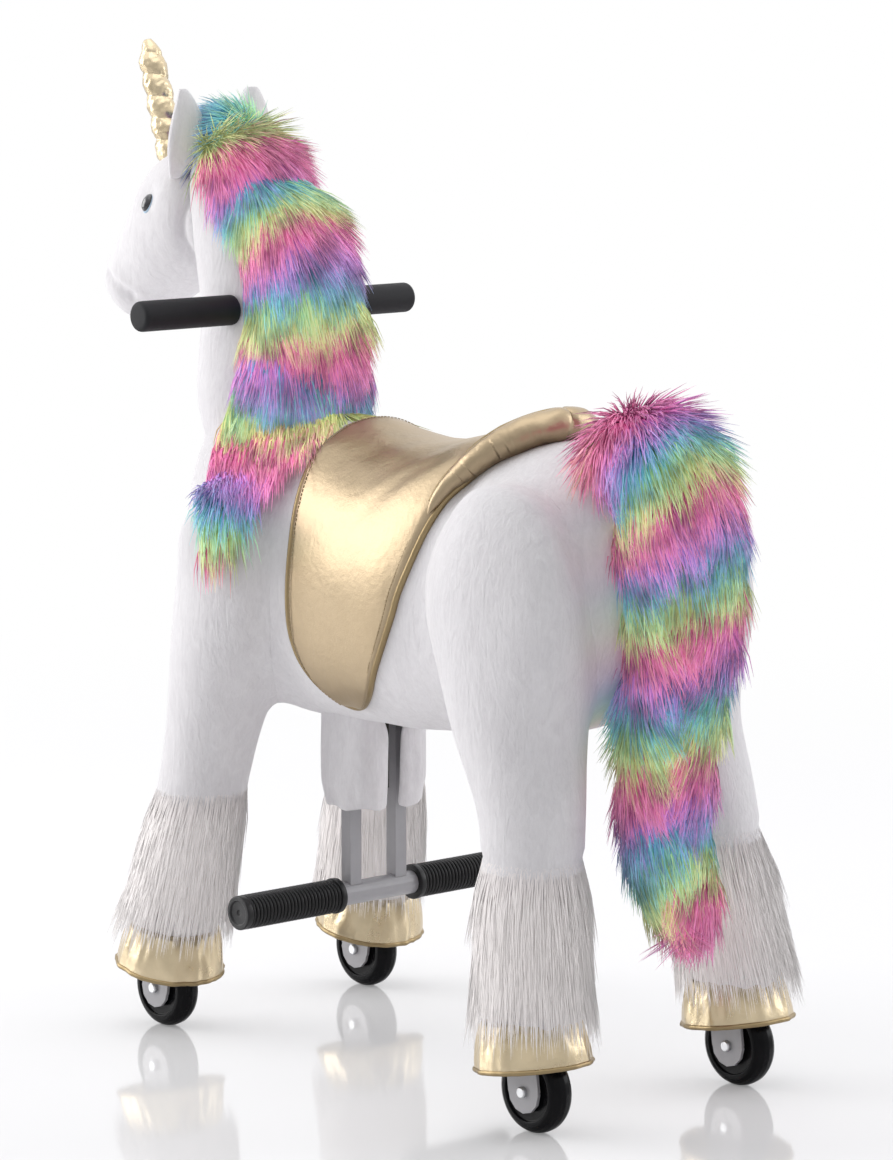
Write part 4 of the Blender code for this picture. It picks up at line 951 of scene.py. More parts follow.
PIPING_LIFT = 0.001
loop, length = evenly(edge_path(0.0, PIPING_LIFT) + edge_path(1.0, PIPING_LIFT)[::-1], gap=0.0045)
piping = tube("saddle_piping", loop[:-1], lambda share: PIPING_R, gold_piping, 10, closed=True)
dressed(piping, TRUNK)
print("piping", round(length, 3), "m long")

# %% The cantle: a stuffed roll along the rear edge
CANTLE_END = 57
CANTLE_R = 0.0165
CANTLE_STEPS = 220


def cantle_swell(share):
    """How full the roll is: nothing at its ends, round in the middle."""
    return math.sin(math.pi * share) ** 0.75


def cantle_radius(share):
    dent = 0.0022 * math.exp(-((share - 0.5) / 0.006) ** 2)
    return max(0.0012, CANTLE_R * cantle_swell(share) - dent)


cantle_path = []
for k in range(CANTLE_STEPS + 1):
    sweep = CANTLE_END * (2 * k / CANTLE_STEPS - 1)
    spot, out = on_body(smooth_edge(rears, sweep) - 0.004, sweep)
    cantle_path.append(spot + out * (0.3 * CANTLE_R + 0.7 * cantle_radius(k / CANTLE_STEPS)) * 0.95)
cantle = tube("saddle_cantle", cantle_path, cantle_radius, gold_leather, 28)
rumpled(cantle, 0.026, 0.002, stretch=(1, 1, 1))
rumpled(cantle, 0.01, 0.0007, stretch=(1, 1, 1))
dressed(cantle, TRUNK)
seam_line = [point + Vector((0, -0.0035, 0.014 * min(1.0, 1.15 * cantle_swell(k / CANTLE_STEPS))))
             for k, point in enumerate(cantle_path)]
seam = tube("saddle_cantle_piping", seam_line[10:-10], lambda share: 0.0017, gold_piping, 8)
dressed(seam, TRUNK)
print("cantle", len(cantle.data.polygons), "faces")

# %% [markdown]
# ## Stitches with Geometry Nodes
#
# The stitches repeat along the saddle's edge, which is what Geometry Nodes are for.  The tree
# turns a polyline into evenly spaced points, sets a short thread on each, and names its sizes
# as inputs, so one tree sews every seam.

# %% Trees that follow a path
def tree_for(name, *numbers):
    """A geometry tree with a Geometry socket each way, the named inputs and a Material."""
    tree = bpy.data.node_groups.new(name, "GeometryNodeTree")
    tree.interface.new_socket("Geometry", in_out="OUTPUT", socket_type="NodeSocketGeometry")
    kinds = {"Geometry": "Geometry", "Seed": "Int", "Material": "Material"}
    for label in ("Geometry", *numbers, "Material"):
        kind = "NodeSocket" + kinds.get(label, "Float")
        tree.interface.new_socket(label, in_out="INPUT", socket_type=kind)
    return tree, tree.nodes.new("NodeGroupInput").outputs, tree.nodes.new("NodeGroupOutput")


def finished_tree(tree, given, made, instances):
    """End a tree with plain mesh in its material, because the export drops instances."""
    real = node(tree, "GeometryNodeRealizeInstances", _0=instances).outputs[0]
    coat = node(tree, "GeometryNodeSetMaterial", Geometry=real, Material=given["Material"])
    fed(tree, made, _0=coat.outputs[0])
    return tree


def along_path(tree, given, made, part):
    """Set a part on points that lie an even distance apart on a polyline."""
    line = node(tree, "GeometryNodeMeshToCurve", _0=given["Geometry"]).outputs[0]
    spots = node(tree, "GeometryNodeCurveToPoints", dict(mode="LENGTH"), Curve=line,
                 Length=given["Spacing"]).outputs
    placed = node(tree, "GeometryNodeInstanceOnPoints", Points=spots["Points"],
                  Rotation=spots["Rotation"], Instance=part)
    return finished_tree(tree, given, made, placed.outputs[0])


def grown(piece, tree, **values):
    """Run a geometry tree on a piece with its inputs set by identifier, and keep the mesh."""
    step = piece.modifiers.new("tree", "NODES")
    step.node_group = tree
    for slot in tree.interface.items_tree:
        key = slot.name.replace(" ", "_")
        if slot.in_out == "INPUT" and key in values:
            step[slot.identifier] = values[key]
    return settled(piece)


def wire_piece(name, path):
    """A polyline as a mesh of edges, for a tree to follow."""
    shape = bmesh.new()
    corners = [shape.verts.new(point) for point in path]
    for pair in zip(corners, corners[1:]):
        shape.edges.new(pair)
    return new_piece(name, shape, outward=False)


# %% Sew along the saddle's edges
sewing, given, made = tree_for("sewing", "Spacing", "Stitch", "Radius")
strand = node(sewing, "GeometryNodeMeshCylinder", Vertices=6, Depth=given["Stitch"], Radius=given["Radius"])
along_path(sewing, given, made, strand.outputs["Mesh"])
STITCH_IN = 0.04
for end, share in (("front", STITCH_IN), ("rear", 1 - STITCH_IN * 1.2)):
    wire = wire_piece(f"saddle_stitches_{end}", edge_path(share, 0.0002, reach=0.97))
    dressed(grown(wire, sewing, Spacing=0.0042, Stitch=0.003, Radius=0.00045, Material=thread), TRUNK)
print("stitches sewn")

# %% [markdown]
# ## Sleeves
#
# Two plush flaps hang from the belly and hide the stirrup arms.  They are cut from flat
# cloth, folded round the arms and closed with a strip of hook-and-loop tape, so each is
# built as a thick sheet.

# %% Hanging flaps
SLEEVE_X, SLEEVE_Y = 0.0455, 0.0345
SLEEVE_LOW, SLEEVE_TOP = 0.232, 0.345
STIRRUP_Y = -0.107 + BODY_SHIFT
SLEEVE_STEPS, SLEEVE_RISES = 40, 18


SLEEVE_OUTLINE = (      # from the slit round the outside and back to the slit, seen from above
    (0.2, 0.86), (0.3, 0.98), (0.6, 1.0), (0.88, 0.84), (1.0, 0.45), (1.02, 0.0), (1.0, -0.45),
    (0.88, -0.84), (0.6, -1.0), (0.25, -0.99), (0.09, -0.9),
)
for side_name, side in SIDES:
    corners = [Vector((side * x * SLEEVE_X, STIRRUP_Y + y * SLEEVE_Y, 0)) for x, y in SLEEVE_OUTLINE]
    outline, width = evenly(corners, count=SLEEVE_STEPS + 1)
    rows = []
    for j in range(SLEEVE_RISES + 1):
        rise = j / SLEEVE_RISES
        rows.append([])
        for k, spot in enumerate(outline):
            drift = noise.noise(Vector((k * 0.22 * side, rise * 1.6, 2.0))) * 0.0045 * (1 - rise)
            drift -= 0.0035 * smoothstep(0.25, 0.0, rise)
            hem = noise.noise(Vector((k * 0.15, side * 3.0, 8.0))) * 0.0045 * (1 - rise)
            out = Vector((spot.x * 0.6, spot.y - STIRRUP_Y, 0)).normalized()
            z = mix(SLEEVE_LOW, SLEEVE_TOP, rise) + hem
            open_up = smoothstep(0.62, 0.95, rise) * math.exp(-k / 3.5) * 0.016 * side
            rows[-1].append(Vector((spot.x + open_up, spot.y, z)) + out * drift)
    sleeve = thick_sheet(f"plush_sleeve_{side_name}", rows, white_plush, 0.005, 1)
    dressed(sleeve, TRUNK, f"arm_sleeve_{side_name}")
print("sleeve cloth", round(width, 3), "by", round(SLEEVE_TOP - SLEEVE_LOW, 3))

# %% Painted shade: a dark sheet in the belly's opening
OPENING_X, OPENING_Y = 0.04, 0.034      # half sizes of the opening
# a dark sheet just under the belly's opening stands in for the shade inside it: painted shade
inner_sheet = bmesh.new()
inner_sheet.from_mesh(forms["plush_body"].data)
centres = [(face, face.calc_center_median()) for face in inner_sheet.faces]
beyond = [face for face, spot in centres if face.normal.z > -0.3 or abs(spot.x) > OPENING_X
          or abs(spot.y - STIRRUP_Y) > OPENING_Y]
bmesh.ops.delete(inner_sheet, geom=beyond, context="FACES")
for vertex in inner_sheet.verts:
    vertex.co.z -= 0.0012
patch = new_piece("belly_lining", inner_sheet, dark_lining, outward=False)
modifier(patch, "SOLIDIFY", thickness=0.0008, offset=0.0, use_rim=True)
dressed(settled(patch), TRUNK)

# %% The tape between the flaps
TAPE_X, TAPE_LOW, TAPE_TOP = (0.0062, 0.0098), 0.252, 0.318
shape = bmesh.new()
bmesh.ops.create_cube(shape, size=1.0)
bmesh.ops.scale(shape, vec=(TAPE_X[1] - TAPE_X[0], 0.003, TAPE_TOP - TAPE_LOW), verts=shape.verts)
bmesh.ops.translate(shape, verts=shape.verts,
                    vec=(sum(TAPE_X) / 2, STIRRUP_Y + SLEEVE_Y * 0.84, (TAPE_TOP + TAPE_LOW) / 2))
tape = new_piece("hook_and_loop_tape", shape, dark_lining)
modifier(tape, "BEVEL", width=0.0006, segments=2)
dressed(settled(tape), TRUNK)
print("tape", len(tape.data.polygons), "faces")

# %% [markdown]
# ## Hooves
#
# Each hoof is a bell of gold foil cloth with a rolled, piped rim.  It is turned from a
# profile in the leg's own frame, and small upright creases are added, because cloth that
# flares out of a tight top gathers into folds.

# %% Turned forms
AXLE_Z = 0.03966
HALF_BASE, HALF_TRACK = 0.272, 0.13
LEG_WAY = {"front": Vector((0, 0.19147, 0.9815)), "rear": Vector((0, -0.13438, 0.99093))}


def wheel_centre(part, side):
    return Vector((HALF_TRACK * side, (-HALF_BASE if part == "front" else HALF_BASE) + BODY_SHIFT, AXLE_Z))


def axis_frame(origin, way):
    """A frame with Z along way and X kept level."""
    z = way.normalized()
    x = Vector((1, 0, 0)) if abs(z.x) < 0.9 else Vector((0, 1, 0))
    x = (x - z * x.dot(z)).normalized()
    y = z.cross(x)
    turn = Matrix((x, y, z)).transposed().to_4x4()
    return Matrix.Translation(origin) @ turn


def round_spot(place, radius, angle, height):
    return place @ Vector((radius * math.cos(angle), radius * math.sin(angle), height))


def turned_piece(name, profile, place, finish, steps, wobble=lambda angle, height: 0.0, loop=False):
    """Turn a profile of (radius, height) points round a frame's Z axis."""
    rows = []
    for radius, height in profile:
        angles = [2 * math.pi * k / steps for k in range(steps)] if radius > 1e-6 else [0.0]
        rows.append([round_spot(place, radius + wobble(a, height), a, height) for a in angles])
    return round_form(name, rows, finish, loop=loop)


def rounded(points, radius=0.0008, steps=3):
    """Round the corners of an open profile with short arcs."""
    made = [points[0]]
    for before, corner, after in zip(points, points[1:], points[2:]):
        a, b, c = (Vector((*p, 0)) for p in (before, corner, after))
        reach = min(radius, (a - b).length * 0.45, (c - b).length * 0.45)
        start, end = b + (a - b).normalized() * reach, b + (c - b).normalized() * reach
        for k in range(steps + 1):
            t = k / steps
            spot = start * (1 - t) ** 2 + b * 2 * t * (1 - t) + end * t ** 2
            made.append((spot.x, spot.y))
    made.append(points[-1])
    return made


# %% Gold hooves with rolled rims
HOOF_TOP, HOOF_LOW = 0.068, 0.022
HOOF_RIM_R = 0.0535


def hoof_creases(seed):
    def wobble(angle, height):
        c, s = math.cos(angle), math.sin(angle)

        def lumps(size, rise, shift):
            return noise.noise(Vector((c * size, s * size, height * rise + shift)))

        gather = smoothstep(HOOF_LOW, HOOF_TOP, height) * 0.6 + 0.4
        fold = max(0.0, 1 - abs(lumps(3.2, 30, seed)) * 4)
        creases = 0.0034 * lumps(5, 14, seed) + 0.0018 * lumps(11, 40, seed) + 0.0024 * fold
        return gather * creases + 0.002 * lumps(1.6, 9, seed * 2)
    return wobble


HOOF_STEPS = 96
RIM_R = 0.0025
HOOF_PROFILE = [(0.016, 0.066), (0.03, 0.0662), (0.0415, 0.067), (0.044, 0.0645), (0.0462, 0.058),
                (0.0487, 0.05), (0.0508, 0.042), (0.0524, 0.034), (0.0532, 0.028), (0.0535, 0.0235),
                (0.052, 0.0225), (0.0502, 0.0235), (0.0498, 0.034), (0.0475, 0.045), (0.044, 0.056),
                (0.04, 0.0628), (0.016, 0.0628)]
for part, way in LEG_WAY.items():
    for seed, (side_name, side) in enumerate(SIDES):
        foot = axis_frame(wheel_centre(part, side), way)
        wobble = hoof_creases(seed * 3.7 + len(part))
        hoof = turned_piece(f"{part}_gold_hoof_{side_name}", HOOF_PROFILE, foot, gold_foil, HOOF_STEPS,
                            wobble, loop=True)
        rim_path = []
        for k in range(HOOF_STEPS):
            angle = 2 * math.pi * k / HOOF_STEPS
            radius = HOOF_RIM_R - 0.0008 + wobble(angle, HOOF_LOW + 0.001)
            rim_path.append(round_spot(foot, radius, angle, HOOF_LOW + 0.0012))
        rim = tube(f"{part}_hoof_rim_{side_name}", rim_path, lambda share: RIM_R, gold_piping, 10,
                   closed=True)
        dressed(settled(hoof, 1), f"{part}_legs", f"{part}_hoof_{side_name}")
        dressed(rim, f"{part}_legs")
print("hooves done")

# %% [markdown]
# ## Wheels, grips and steel
#
# The wheels are glossy black plastic with a rounded tread, and turn with their own bodies.
# The grips are turned too: foam on the handlebar, ribbed rubber on the stirrup bar.  The ribs
# repeat along the grip, so a Geometry Nodes tree places them.

# %% Wheels and bolts
WHEEL_PROFILE = rounded([(0.0045, -0.0127), (0.0125, -0.0127), (0.0128, -0.0105), (0.0275, -0.0102),
                         (0.0285, -0.0127), (0.033, -0.0122), (0.0368, -0.0098), (0.0392, -0.0056),
                         (0.04, 0.0), (0.0392, 0.0056), (0.0368, 0.0098), (0.033, 0.0122),
                         (0.0285, 0.0127), (0.0275, 0.0102), (0.0128, 0.0105), (0.0125, 0.0127),
                         (0.0045, 0.0127)])
for part in LEG_WAY:
    for side_name, side in SIDES:
        hub = axis_frame(wheel_centre(part, side), Vector((1, 0, 0)))
        wheel = turned_piece(f"{part}_black_wheel_{side_name}", WHEEL_PROFILE, hub, wheel_black, 80,
                             loop=True)
        dressed(wheel, f"{part}_wheel_{side_name}", f"{part}_wheel_{side_name}")
print("wheels done")

# %% Grips
def bar_frame(y, z, side):
    return axis_frame(Vector((0, y, z)), Vector((side, 0, 0)))


BAR_Y, BAR_Z = -0.255 + BODY_SHIFT, 0.71
STEP_Z = 0.146
FOAM_PROFILE = rounded([(0.0, 0.0555), (0.0149, 0.0555), (0.015, 0.06), (0.015, 0.172),
                        (0.0, 0.172)], 0.0052, 7)
STEP_PROFILE = rounded([(0.0, 0.048), (0.0175, 0.048), (0.0175, 0.054), (0.0148, 0.0545),
                        (0.0148, 0.164), (0.0166, 0.1655), (0.0166, 0.1712), (0.0158, 0.172),
                        (0.0118, 0.172), (0.0112, 0.1705), (0.003, 0.1705), (0.0026, 0.1695),
                        (0.0, 0.1695)], 0.0009)
for side_name, side in SIDES:
    handle, bar = bar_frame(BAR_Y, BAR_Z, side), bar_frame(STIRRUP_Y, STEP_Z, side)
    foam = turned_piece(f"foam_grip_{side_name}", FOAM_PROFILE, handle, black_foam, 48)
    dressed(foam, HEAD, f"handle_grip_{side_name}")
    step = turned_piece(f"rubber_step_{side_name}", STEP_PROFILE, bar, black_rubber, 48)
    dressed(step, "stirrup", f"stirrup_grip_{side_name}")
print("grips done")

# %% Ribs on the stirrup grips
ribbing, given, made = tree_for("ribbing", "Spacing", "Radius", "Rib")
hoop = node(ribbing, "GeometryNodeCurvePrimitiveCircle", Resolution=40, Radius=given["Radius"]).outputs[0]
section = node(ribbing, "GeometryNodeCurvePrimitiveCircle", Resolution=6, Radius=given["Rib"]).outputs[0]
rib = node(ribbing, "GeometryNodeCurveToMesh", Curve=hoop, Profile_Curve=section)
along_path(ribbing, given, made, rib.outputs[0])
for side_name, side in SIDES:
    run = [Vector((side * x, STIRRUP_Y, STEP_Z)) for x in np.linspace(0.0565, 0.1632, 12)]
    ribs = grown(wire_piece(f"rubber_ribs_{side_name}", run), ribbing, Spacing=0.0042, Radius=0.015,
                 Rib=0.0018, Material=black_rubber)
    dressed(ribs, "stirrup")
    print("ribs", side_name, len(ribs.data.polygons), "faces")

# %% Steel parts get bevelled edges and their own finish
def softened(node_name, finish, bevel):
    """A bevelled copy of a CAD node, with its doubles merged first."""
    shape = bmesh.new()
    shape.from_mesh(frame["nodes"][node_name].data)
    bmesh.ops.remove_doubles(shape, verts=shape.verts, dist=1e-5)
    bmesh.ops.dissolve_limit(shape, angle_limit=math.radians(1.0), verts=shape.verts, edges=shape.edges)
    piece = new_piece(f"{node_name}_finish", shape, finish, outward=False)
    modifier(piece, "BEVEL", width=bevel, segments=2, limit_method="ANGLE", angle_limit=math.radians(30),
             harden_normals=False)
    modifier(piece, "WEIGHTED_NORMAL", keep_sharp=False, weight=80)
    return settled(piece)


body_of_node = {}
for body, carried in frame["record"]["behaviour"]["bodies"].items():
    body_of_node.update({node_name: body for node_name in carried})
steel = [(f"{part}_{kind}_{side_name}", finish, bevel)
         for kind, finish, bevel in (("fork", grey_enamel, 0.0008), ("axle_bolt", bright_zinc, 0.0004))
         for part in LEG_WAY for side_name, _ in SIDES]
for node_name, finish, bevel in [("stirrup_arms", grey_enamel, 0.0008)] + steel:
    dressed(softened(node_name, finish, bevel), body_of_node[node_name], node_name)
for node_name, piece in frame["nodes"].items():
    finish = grey_enamel if node_name in ("handlebar", "stirrup_bar") else black_enamel
    for k in range(len(piece.data.materials)):
        piece.data.materials[k] = finish
print("steel finished")

# %% [markdown]
# ## Fur
#
# The mane, the tail and the tufts over the hooves are long faux fur.  A bed carries two
# attributes: comb, the way that the hair is brushed, and along, how far down the piece it
# grows, which picks the colour band.  A Geometry Nodes tree scatters points on the bed, sets a
# thin curved lock on each, turns it to the comb and keeps it plain mesh for the export.

# %% A tree that grows locks of hair
def fur_tree(name, steps):
    tree, given, made = tree_for(name, "Density", "Length", "Radius", "Lift", "Seed", "Turn")

    def new(kind, props=None, **inputs):
        return node(tree, kind, props, **inputs).outputs

    def work(operation, *values):
        return math_node(tree, operation, *values)

    def random_between(low, high, seed_shift):
        return new("FunctionNodeRandomValue", dict(data_type="FLOAT"), _2=low, _3=high,
                   Seed=work("ADD", given["Seed"], seed_shift))[1]

    def three(first, second, third):
        return new("ShaderNodeCombineXYZ", _0=first, _1=second, _2=third)[0]

    def stored(geometry, label, value, kind="FLOAT", domain="POINT"):
        return new("GeometryNodeStoreNamedAttribute", dict(data_type=kind, domain=domain),
                   Geometry=geometry, Name=label, Value=value)[0]

    # one lock: a line that rises from the bed, arches over and thins out
    line = new("GeometryNodeCurvePrimitiveLine", End=(0, 0, 1))[0]
    fine = new("GeometryNodeResampleCurve", Count=steps, Curve=line)[0]
    share = new("GeometryNodeSplineParameter")["Factor"]
    arch = work("MULTIPLY", work("SINE", work("MULTIPLY", share, 2.6)), given["Lift"])
    sway = work("SINE", work("MULTIPLY", share, 5.2))
    sway = work("MULTIPLY", sway, work("MULTIPLY", given["Lift"], 0.28))
    spot = three(arch, sway, work("MULTIPLY", share, given["Length"]))
    bend = new("GeometryNodeSetPosition", Geometry=fine, Position=spot)[0]
    taper = work("SUBTRACT", 1.0, work("POWER", share, 1.6))
    taper = work("MULTIPLY", taper, work("ADD", 0.35, work("MINIMUM", 0.65, work("MULTIPLY", share, 3.0))))
    radius = work("ADD", work("MULTIPLY", taper, given["Radius"]), 0.00006)
    thin = new("GeometryNodeSetCurveRadius", Curve=bend, Radius=radius)[0]
    section = new("GeometryNodeCurvePrimitiveCircle", Resolution=3, Radius=1.0)[0]
    lock = node(tree, "GeometryNodeCurveToMesh", Curve=stored(thin, "tip", share), Profile_Curve=section,
                Fill_Caps=True)
    if "Scale" in lock.inputs:
        fed(tree, lock, Scale=new("GeometryNodeInputRadius")[0])

    # scatter, turn to the comb with X away from the bed, and vary each lock
    roots = new("GeometryNodeDistributePointsOnFaces", Mesh=given["Geometry"], Density=given["Density"],
                Seed=given["Seed"])
    rest = stored(roots["Points"], "bed_normal", roots["Normal"], "FLOAT_VECTOR")
    comb = new("GeometryNodeInputNamedAttribute", dict(data_type="FLOAT_VECTOR"), Name="comb")[0]
    lay = new("FunctionNodeAlignRotationToVector", dict(axis="Z"), Vector=comb)[0]
    face = new("FunctionNodeAlignRotationToVector", dict(axis="X", pivot_axis="Z"), Rotation=lay,
               Vector=roots["Normal"])[0]
    wander = [work("MULTIPLY", work("MULTIPLY", random_between(-1.0, 1.0, shift), given["Turn"]), part)
              for shift, part in ((11, 0.55), (12, 0.4), (13, 2.2))]
    as_turn = new("FunctionNodeEulerToRotation", _0=three(*wander))[0]
    turn = new("FunctionNodeRotateRotation", dict(rotation_space="LOCAL"), Rotation=face,
               Rotate_By=as_turn)[0]
    thick, deep = random_between(0.75, 1.35, 21), random_between(0.75, 1.35, 22)
    size = three(thick, deep, random_between(0.55, 1.15, 23))
    place = new("GeometryNodeInstanceOnPoints", Points=rest, Instance=lock.outputs[0], Rotation=turn,
                Scale=size)[0]
    shifted_lock = stored(place, "shift", random_between(-0.055, 0.055, 31), domain="INSTANCE")
    return finished_tree(tree, given, made, shifted_lock)


fur = fur_tree("fur", steps=4)
fine_fur = fur_tree("fine_fur", steps=3)
print("fur tree", len(fur.nodes), "nodes")

# %% Beds that carry the comb and the distance along
def along_chain(chain, lengths, point):
    """How far down a chain of points the nearest spot lies, the way there, and the spot."""
    best = None
    for k, (a, b) in enumerate(zip(chain, chain[1:])):
        way = b - a
        share = min(1.0, max(0.0, (point - a).dot(way) / way.length_squared))
        spot = a + way * share
        gap = (point - spot).length
        if best is None or gap < best[0]:
            best = (gap, lengths[k] + way.length * share, way.normalized(), spot)
    return best[1:]


RIGHT_IN_VIEW = Vector((-0.75, 0.66, 0.0))
TO_VIEW = Vector((0.66, 0.75, 0.0))
DOWN = Vector((0, 0, -1))

def combed_bed(piece, chain, bands=None, outward=0.12, ruffle=0.4, tuft=0.032, fall=0.0, slope=0.0,
               flare=0.0, straight=0.0, lean=None, heights=None):
    """Store comb and along on a bed's points.

    Hair follows the chain, and where the bed is steep it falls straight down by the share fall.
    With lean it falls that way everywhere, which hides the whorl that each combed surface has
    behind its top.  By the share straight it hangs straight down in the photograph's view.
    Noise of the size tuft gathers it, and flare lifts its end.  bands lists distances down the
    chain and the number of the colour band there, and heights lists heights instead.  slope
    tilts the bands, as on a tail that is twisted a little."""
    lengths = chain_measure(chain)
    mesh = piece.data
    combs, alongs = [], []
    for vertex in mesh.vertices:
        far, way, spot = along_chain(chain, lengths, vertex.co)
        up = vertex.normal
        shifts = (Vector((0, 0, 0)), Vector((9, 3, 1)), Vector((2, 7, 5)))
        sway = Vector([noise.noise(vertex.co / tuft + shift) for shift in shifts])
        brush = way.lerp(lean, fall) if lean else way.lerp(DOWN, fall * (1 - up.z ** 2))
        brush = (brush - up * brush.dot(up) + way * 0.05).normalized()
        right = Vector((math.copysign(RIGHT_IN_VIEW.x, -vertex.co.x), RIGHT_IN_VIEW.y, 0))
        plumb = up.cross(right).normalized()
        brush = brush.lerp(plumb * math.copysign(1.0, -plumb.z), straight)
        brush += up * (outward + flare * smoothstep(0.6, 0.85, far / lengths[-1])) + sway * ruffle
        brush += up * max(0.0, 0.05 - brush.dot(up))
        combs.extend(brush.normalized())
        at, table = (vertex.co.z, heights) if heights else (far, bands)
        band = float(np.interp(at, *zip(*table))) if table else far
        alongs.append(band + slope * (vertex.co - spot).dot(RIGHT_IN_VIEW) / 0.05)
    mesh.attributes.new("comb", "FLOAT_VECTOR", "POINT").data.foreach_set("vector", combs)
    mesh.attributes.new("along", "FLOAT", "POINT").data.foreach_set("value", alongs)
    return piece


def part_of_bed(piece, name, keep):
    """A copy of a bed with only the faces whose centre passes the test."""
    shape = bmesh.new()
    shape.from_mesh(piece.data)
    dropped = [face for face in shape.faces if not keep(face.calc_center_median())]
    bmesh.ops.delete(shape, geom=dropped, context="FACES")
    return new_piece(name, shape, outward=False)


SOFTNESS = 0.7     # how far a lock's shading follows the bed under it


def soft_normals(mesh, softness=SOFTNESS):
    """Shade thin locks like the surface that they lie on, which is how dense fur looks."""
    count = len(mesh.vertices)
    bed, own = np.zeros(count * 3), np.zeros(count * 3)
    mesh.attributes["bed_normal"].data.foreach_get("vector", bed)
    mesh.vertex_normals.foreach_get("vector", own)
    mixed = bed.reshape(-1, 3) * softness + own.reshape(-1, 3) * (1 - softness)
    mixed /= np.maximum(np.linalg.norm(mixed, axis=1, keepdims=True), 1e-6)
    mesh.normals_split_custom_set_from_vertices(mixed.tolist())
    mesh.attributes.remove(mesh.attributes["bed_normal"])


def fur_on(bed, name, keep, finish, count, tree=fur, softness=SOFTNESS, **looks):
    """Grow about this many locks on the kept part of a bed."""
    patch = part_of_bed(bed, name, keep)
    area = sum(face.area for face in patch.data.polygons)
    piece = grown(patch, tree, Density=count / area, Material=finish, **looks)
    soft_normals(piece.data, softness)
    triangles = sum(len(face.vertices) - 2 for face in piece.data.polygons)
    print(name, "area", round(area, 4), "triangles", triangles)
    return piece


def shifted(points):
    return [Vector((0, y + BODY_SHIFT, z)) for y, z in points]


# %% [markdown]
# ## Mane
#
# The mane grows from a padded crest over the back of the neck.  It starts as a forelock
# between the ears, falls down both sides of the neck and ends in a point on each shoulder.
# The bands of colour lie across it about every eleven centimetres.

# %% Mane bed and its locks
MANE_RINGS = (
    (0, -0.216, 0.6, 0.06, 0.056, 0), (0, -0.214, 0.655, 0.054, 0.051, 0),
    (0, -0.213, 0.71, 0.048, 0.051, 0), (0, -0.226, 0.765, 0.046, 0.052, 0),
    (0, -0.26, 0.816, 0.042, 0.047, 0), (0, -0.305, 0.851, 0.035, 0.038, 0),
    (0, -0.33, 0.875, 0.02, 0.018, 0),
)
MANE_CHAIN = shifted(((-0.372, 0.902), (-0.33, 0.915), (-0.29, 0.895), (-0.25, 0.85), (-0.205, 0.78),
                      (-0.185, 0.71), (-0.19, 0.655), (-0.205, 0.605), (-0.225, 0.565), (-0.24, 0.53),
                      (-0.24, 0.49), (-0.235, 0.455)))
MANE_BANDS = (      # distance down the chain, and the number of the band there
    (0.0, -0.65), (0.035, -0.42), (0.075, -0.15), (0.12, 0.15), (0.212, 1.15), (0.325, 2.15),
    (0.444, 3.15), (0.544, 4.15), (0.6, 4.5),
)
neck_tree = tree_of(neck)
mane_bed = ring_form("mane_bed", MANE_RINGS, rainbow_fur)
for vertex in mane_bed.data.vertices:
    near, out, _, _ = neck_tree.find_nearest(vertex.co)
    if vertex.normal.y > -0.25 and (vertex.co - near).dot(out) < 0.001 and out.y > -0.1:
        vertex.co = near + out * 0.001
mane_bed.data.update()
combed_bed(mane_bed, MANE_CHAIN, MANE_BANDS, fall=0.75)


def outside_head(point):
    return depth_in(neck_tree, point) < 0.004 and depth_in(head_tree, point) < 0.004


MANE_LOOK = dict(Length=0.055, Radius=0.0008, Lift=0.005, Turn=0.26)
MANE_SPLIT = 0.735     # each half is grown as two pieces, above and below this height
mane_parts = [mane_bed]
for side_name, side in SIDES:
    for level, over in (("upper", 1), ("lower", -1)):
        look = MANE_LOOK | dict(Lift=0.0042 - over * 0.0008)
        mane_parts.append(fur_on(
            mane_bed, f"mane_fur_{side_name}_{level}",
            lambda p: p.x * side > 0 and (p.z - MANE_SPLIT) * over > 0 and outside_head(p),
            rainbow_fur, 6900 + 600 * side, Seed=10 + side + over * 4, **look))
print("mane pieces", len(mane_parts))

# %% The ends of the mane on the shoulders
STRIP_ROWS = (      # x, then y and z at the front edge, y and z at the rear edge
    (0.066, -0.214, 0.6833, -0.11, 0.686), (0.07, -0.228, 0.6435, -0.07, 0.656),
    (0.08, -0.247, 0.598, -0.056, 0.615),
    (0.088, -0.244, 0.56, -0.123, 0.575), (0.094, -0.244, 0.528, -0.162, 0.54),
    (0.098, -0.242, 0.503, -0.185, 0.513), (0.1, -0.236, 0.485, -0.198, 0.49),
)
STRIP_BANDS = ((0.49, 4.2), (0.512, 3.88), (0.528, 3.64), (0.543, 3.42), (0.58, 3.04), (0.636, 2.72),
               (0.658, 2.55), (0.696, 2.3))      # height, and the number of the band there
STRIP_COLUMNS = 20
VIEW_WAY = (CAMERA_TO - CAMERA_AT).normalized()
skin_below = [body_tree, neck_tree, tree_of(mane_bed)]
skin_below += [tree_of(forms[f"plush_front_leg_{side_name}"]) for side_name, _ in SIDES]
def view_way(side):
    return Vector((VIEW_WAY.x * side, VIEW_WAY.y, VIEW_WAY.z))


def on_skin(point, side):
    """The first spot of the skin that the photograph's line of sight meets, on either side."""
    start = Vector((point.x * side, point.y, point.z)) - view_way(side) * 0.35
    hits = [hit for hit in (tree.ray_cast(start, view_way(side), 0.8) for tree in skin_below) if hit[0]]
    return min(hits, key=lambda hit: hit[3])[:2] if hits else None


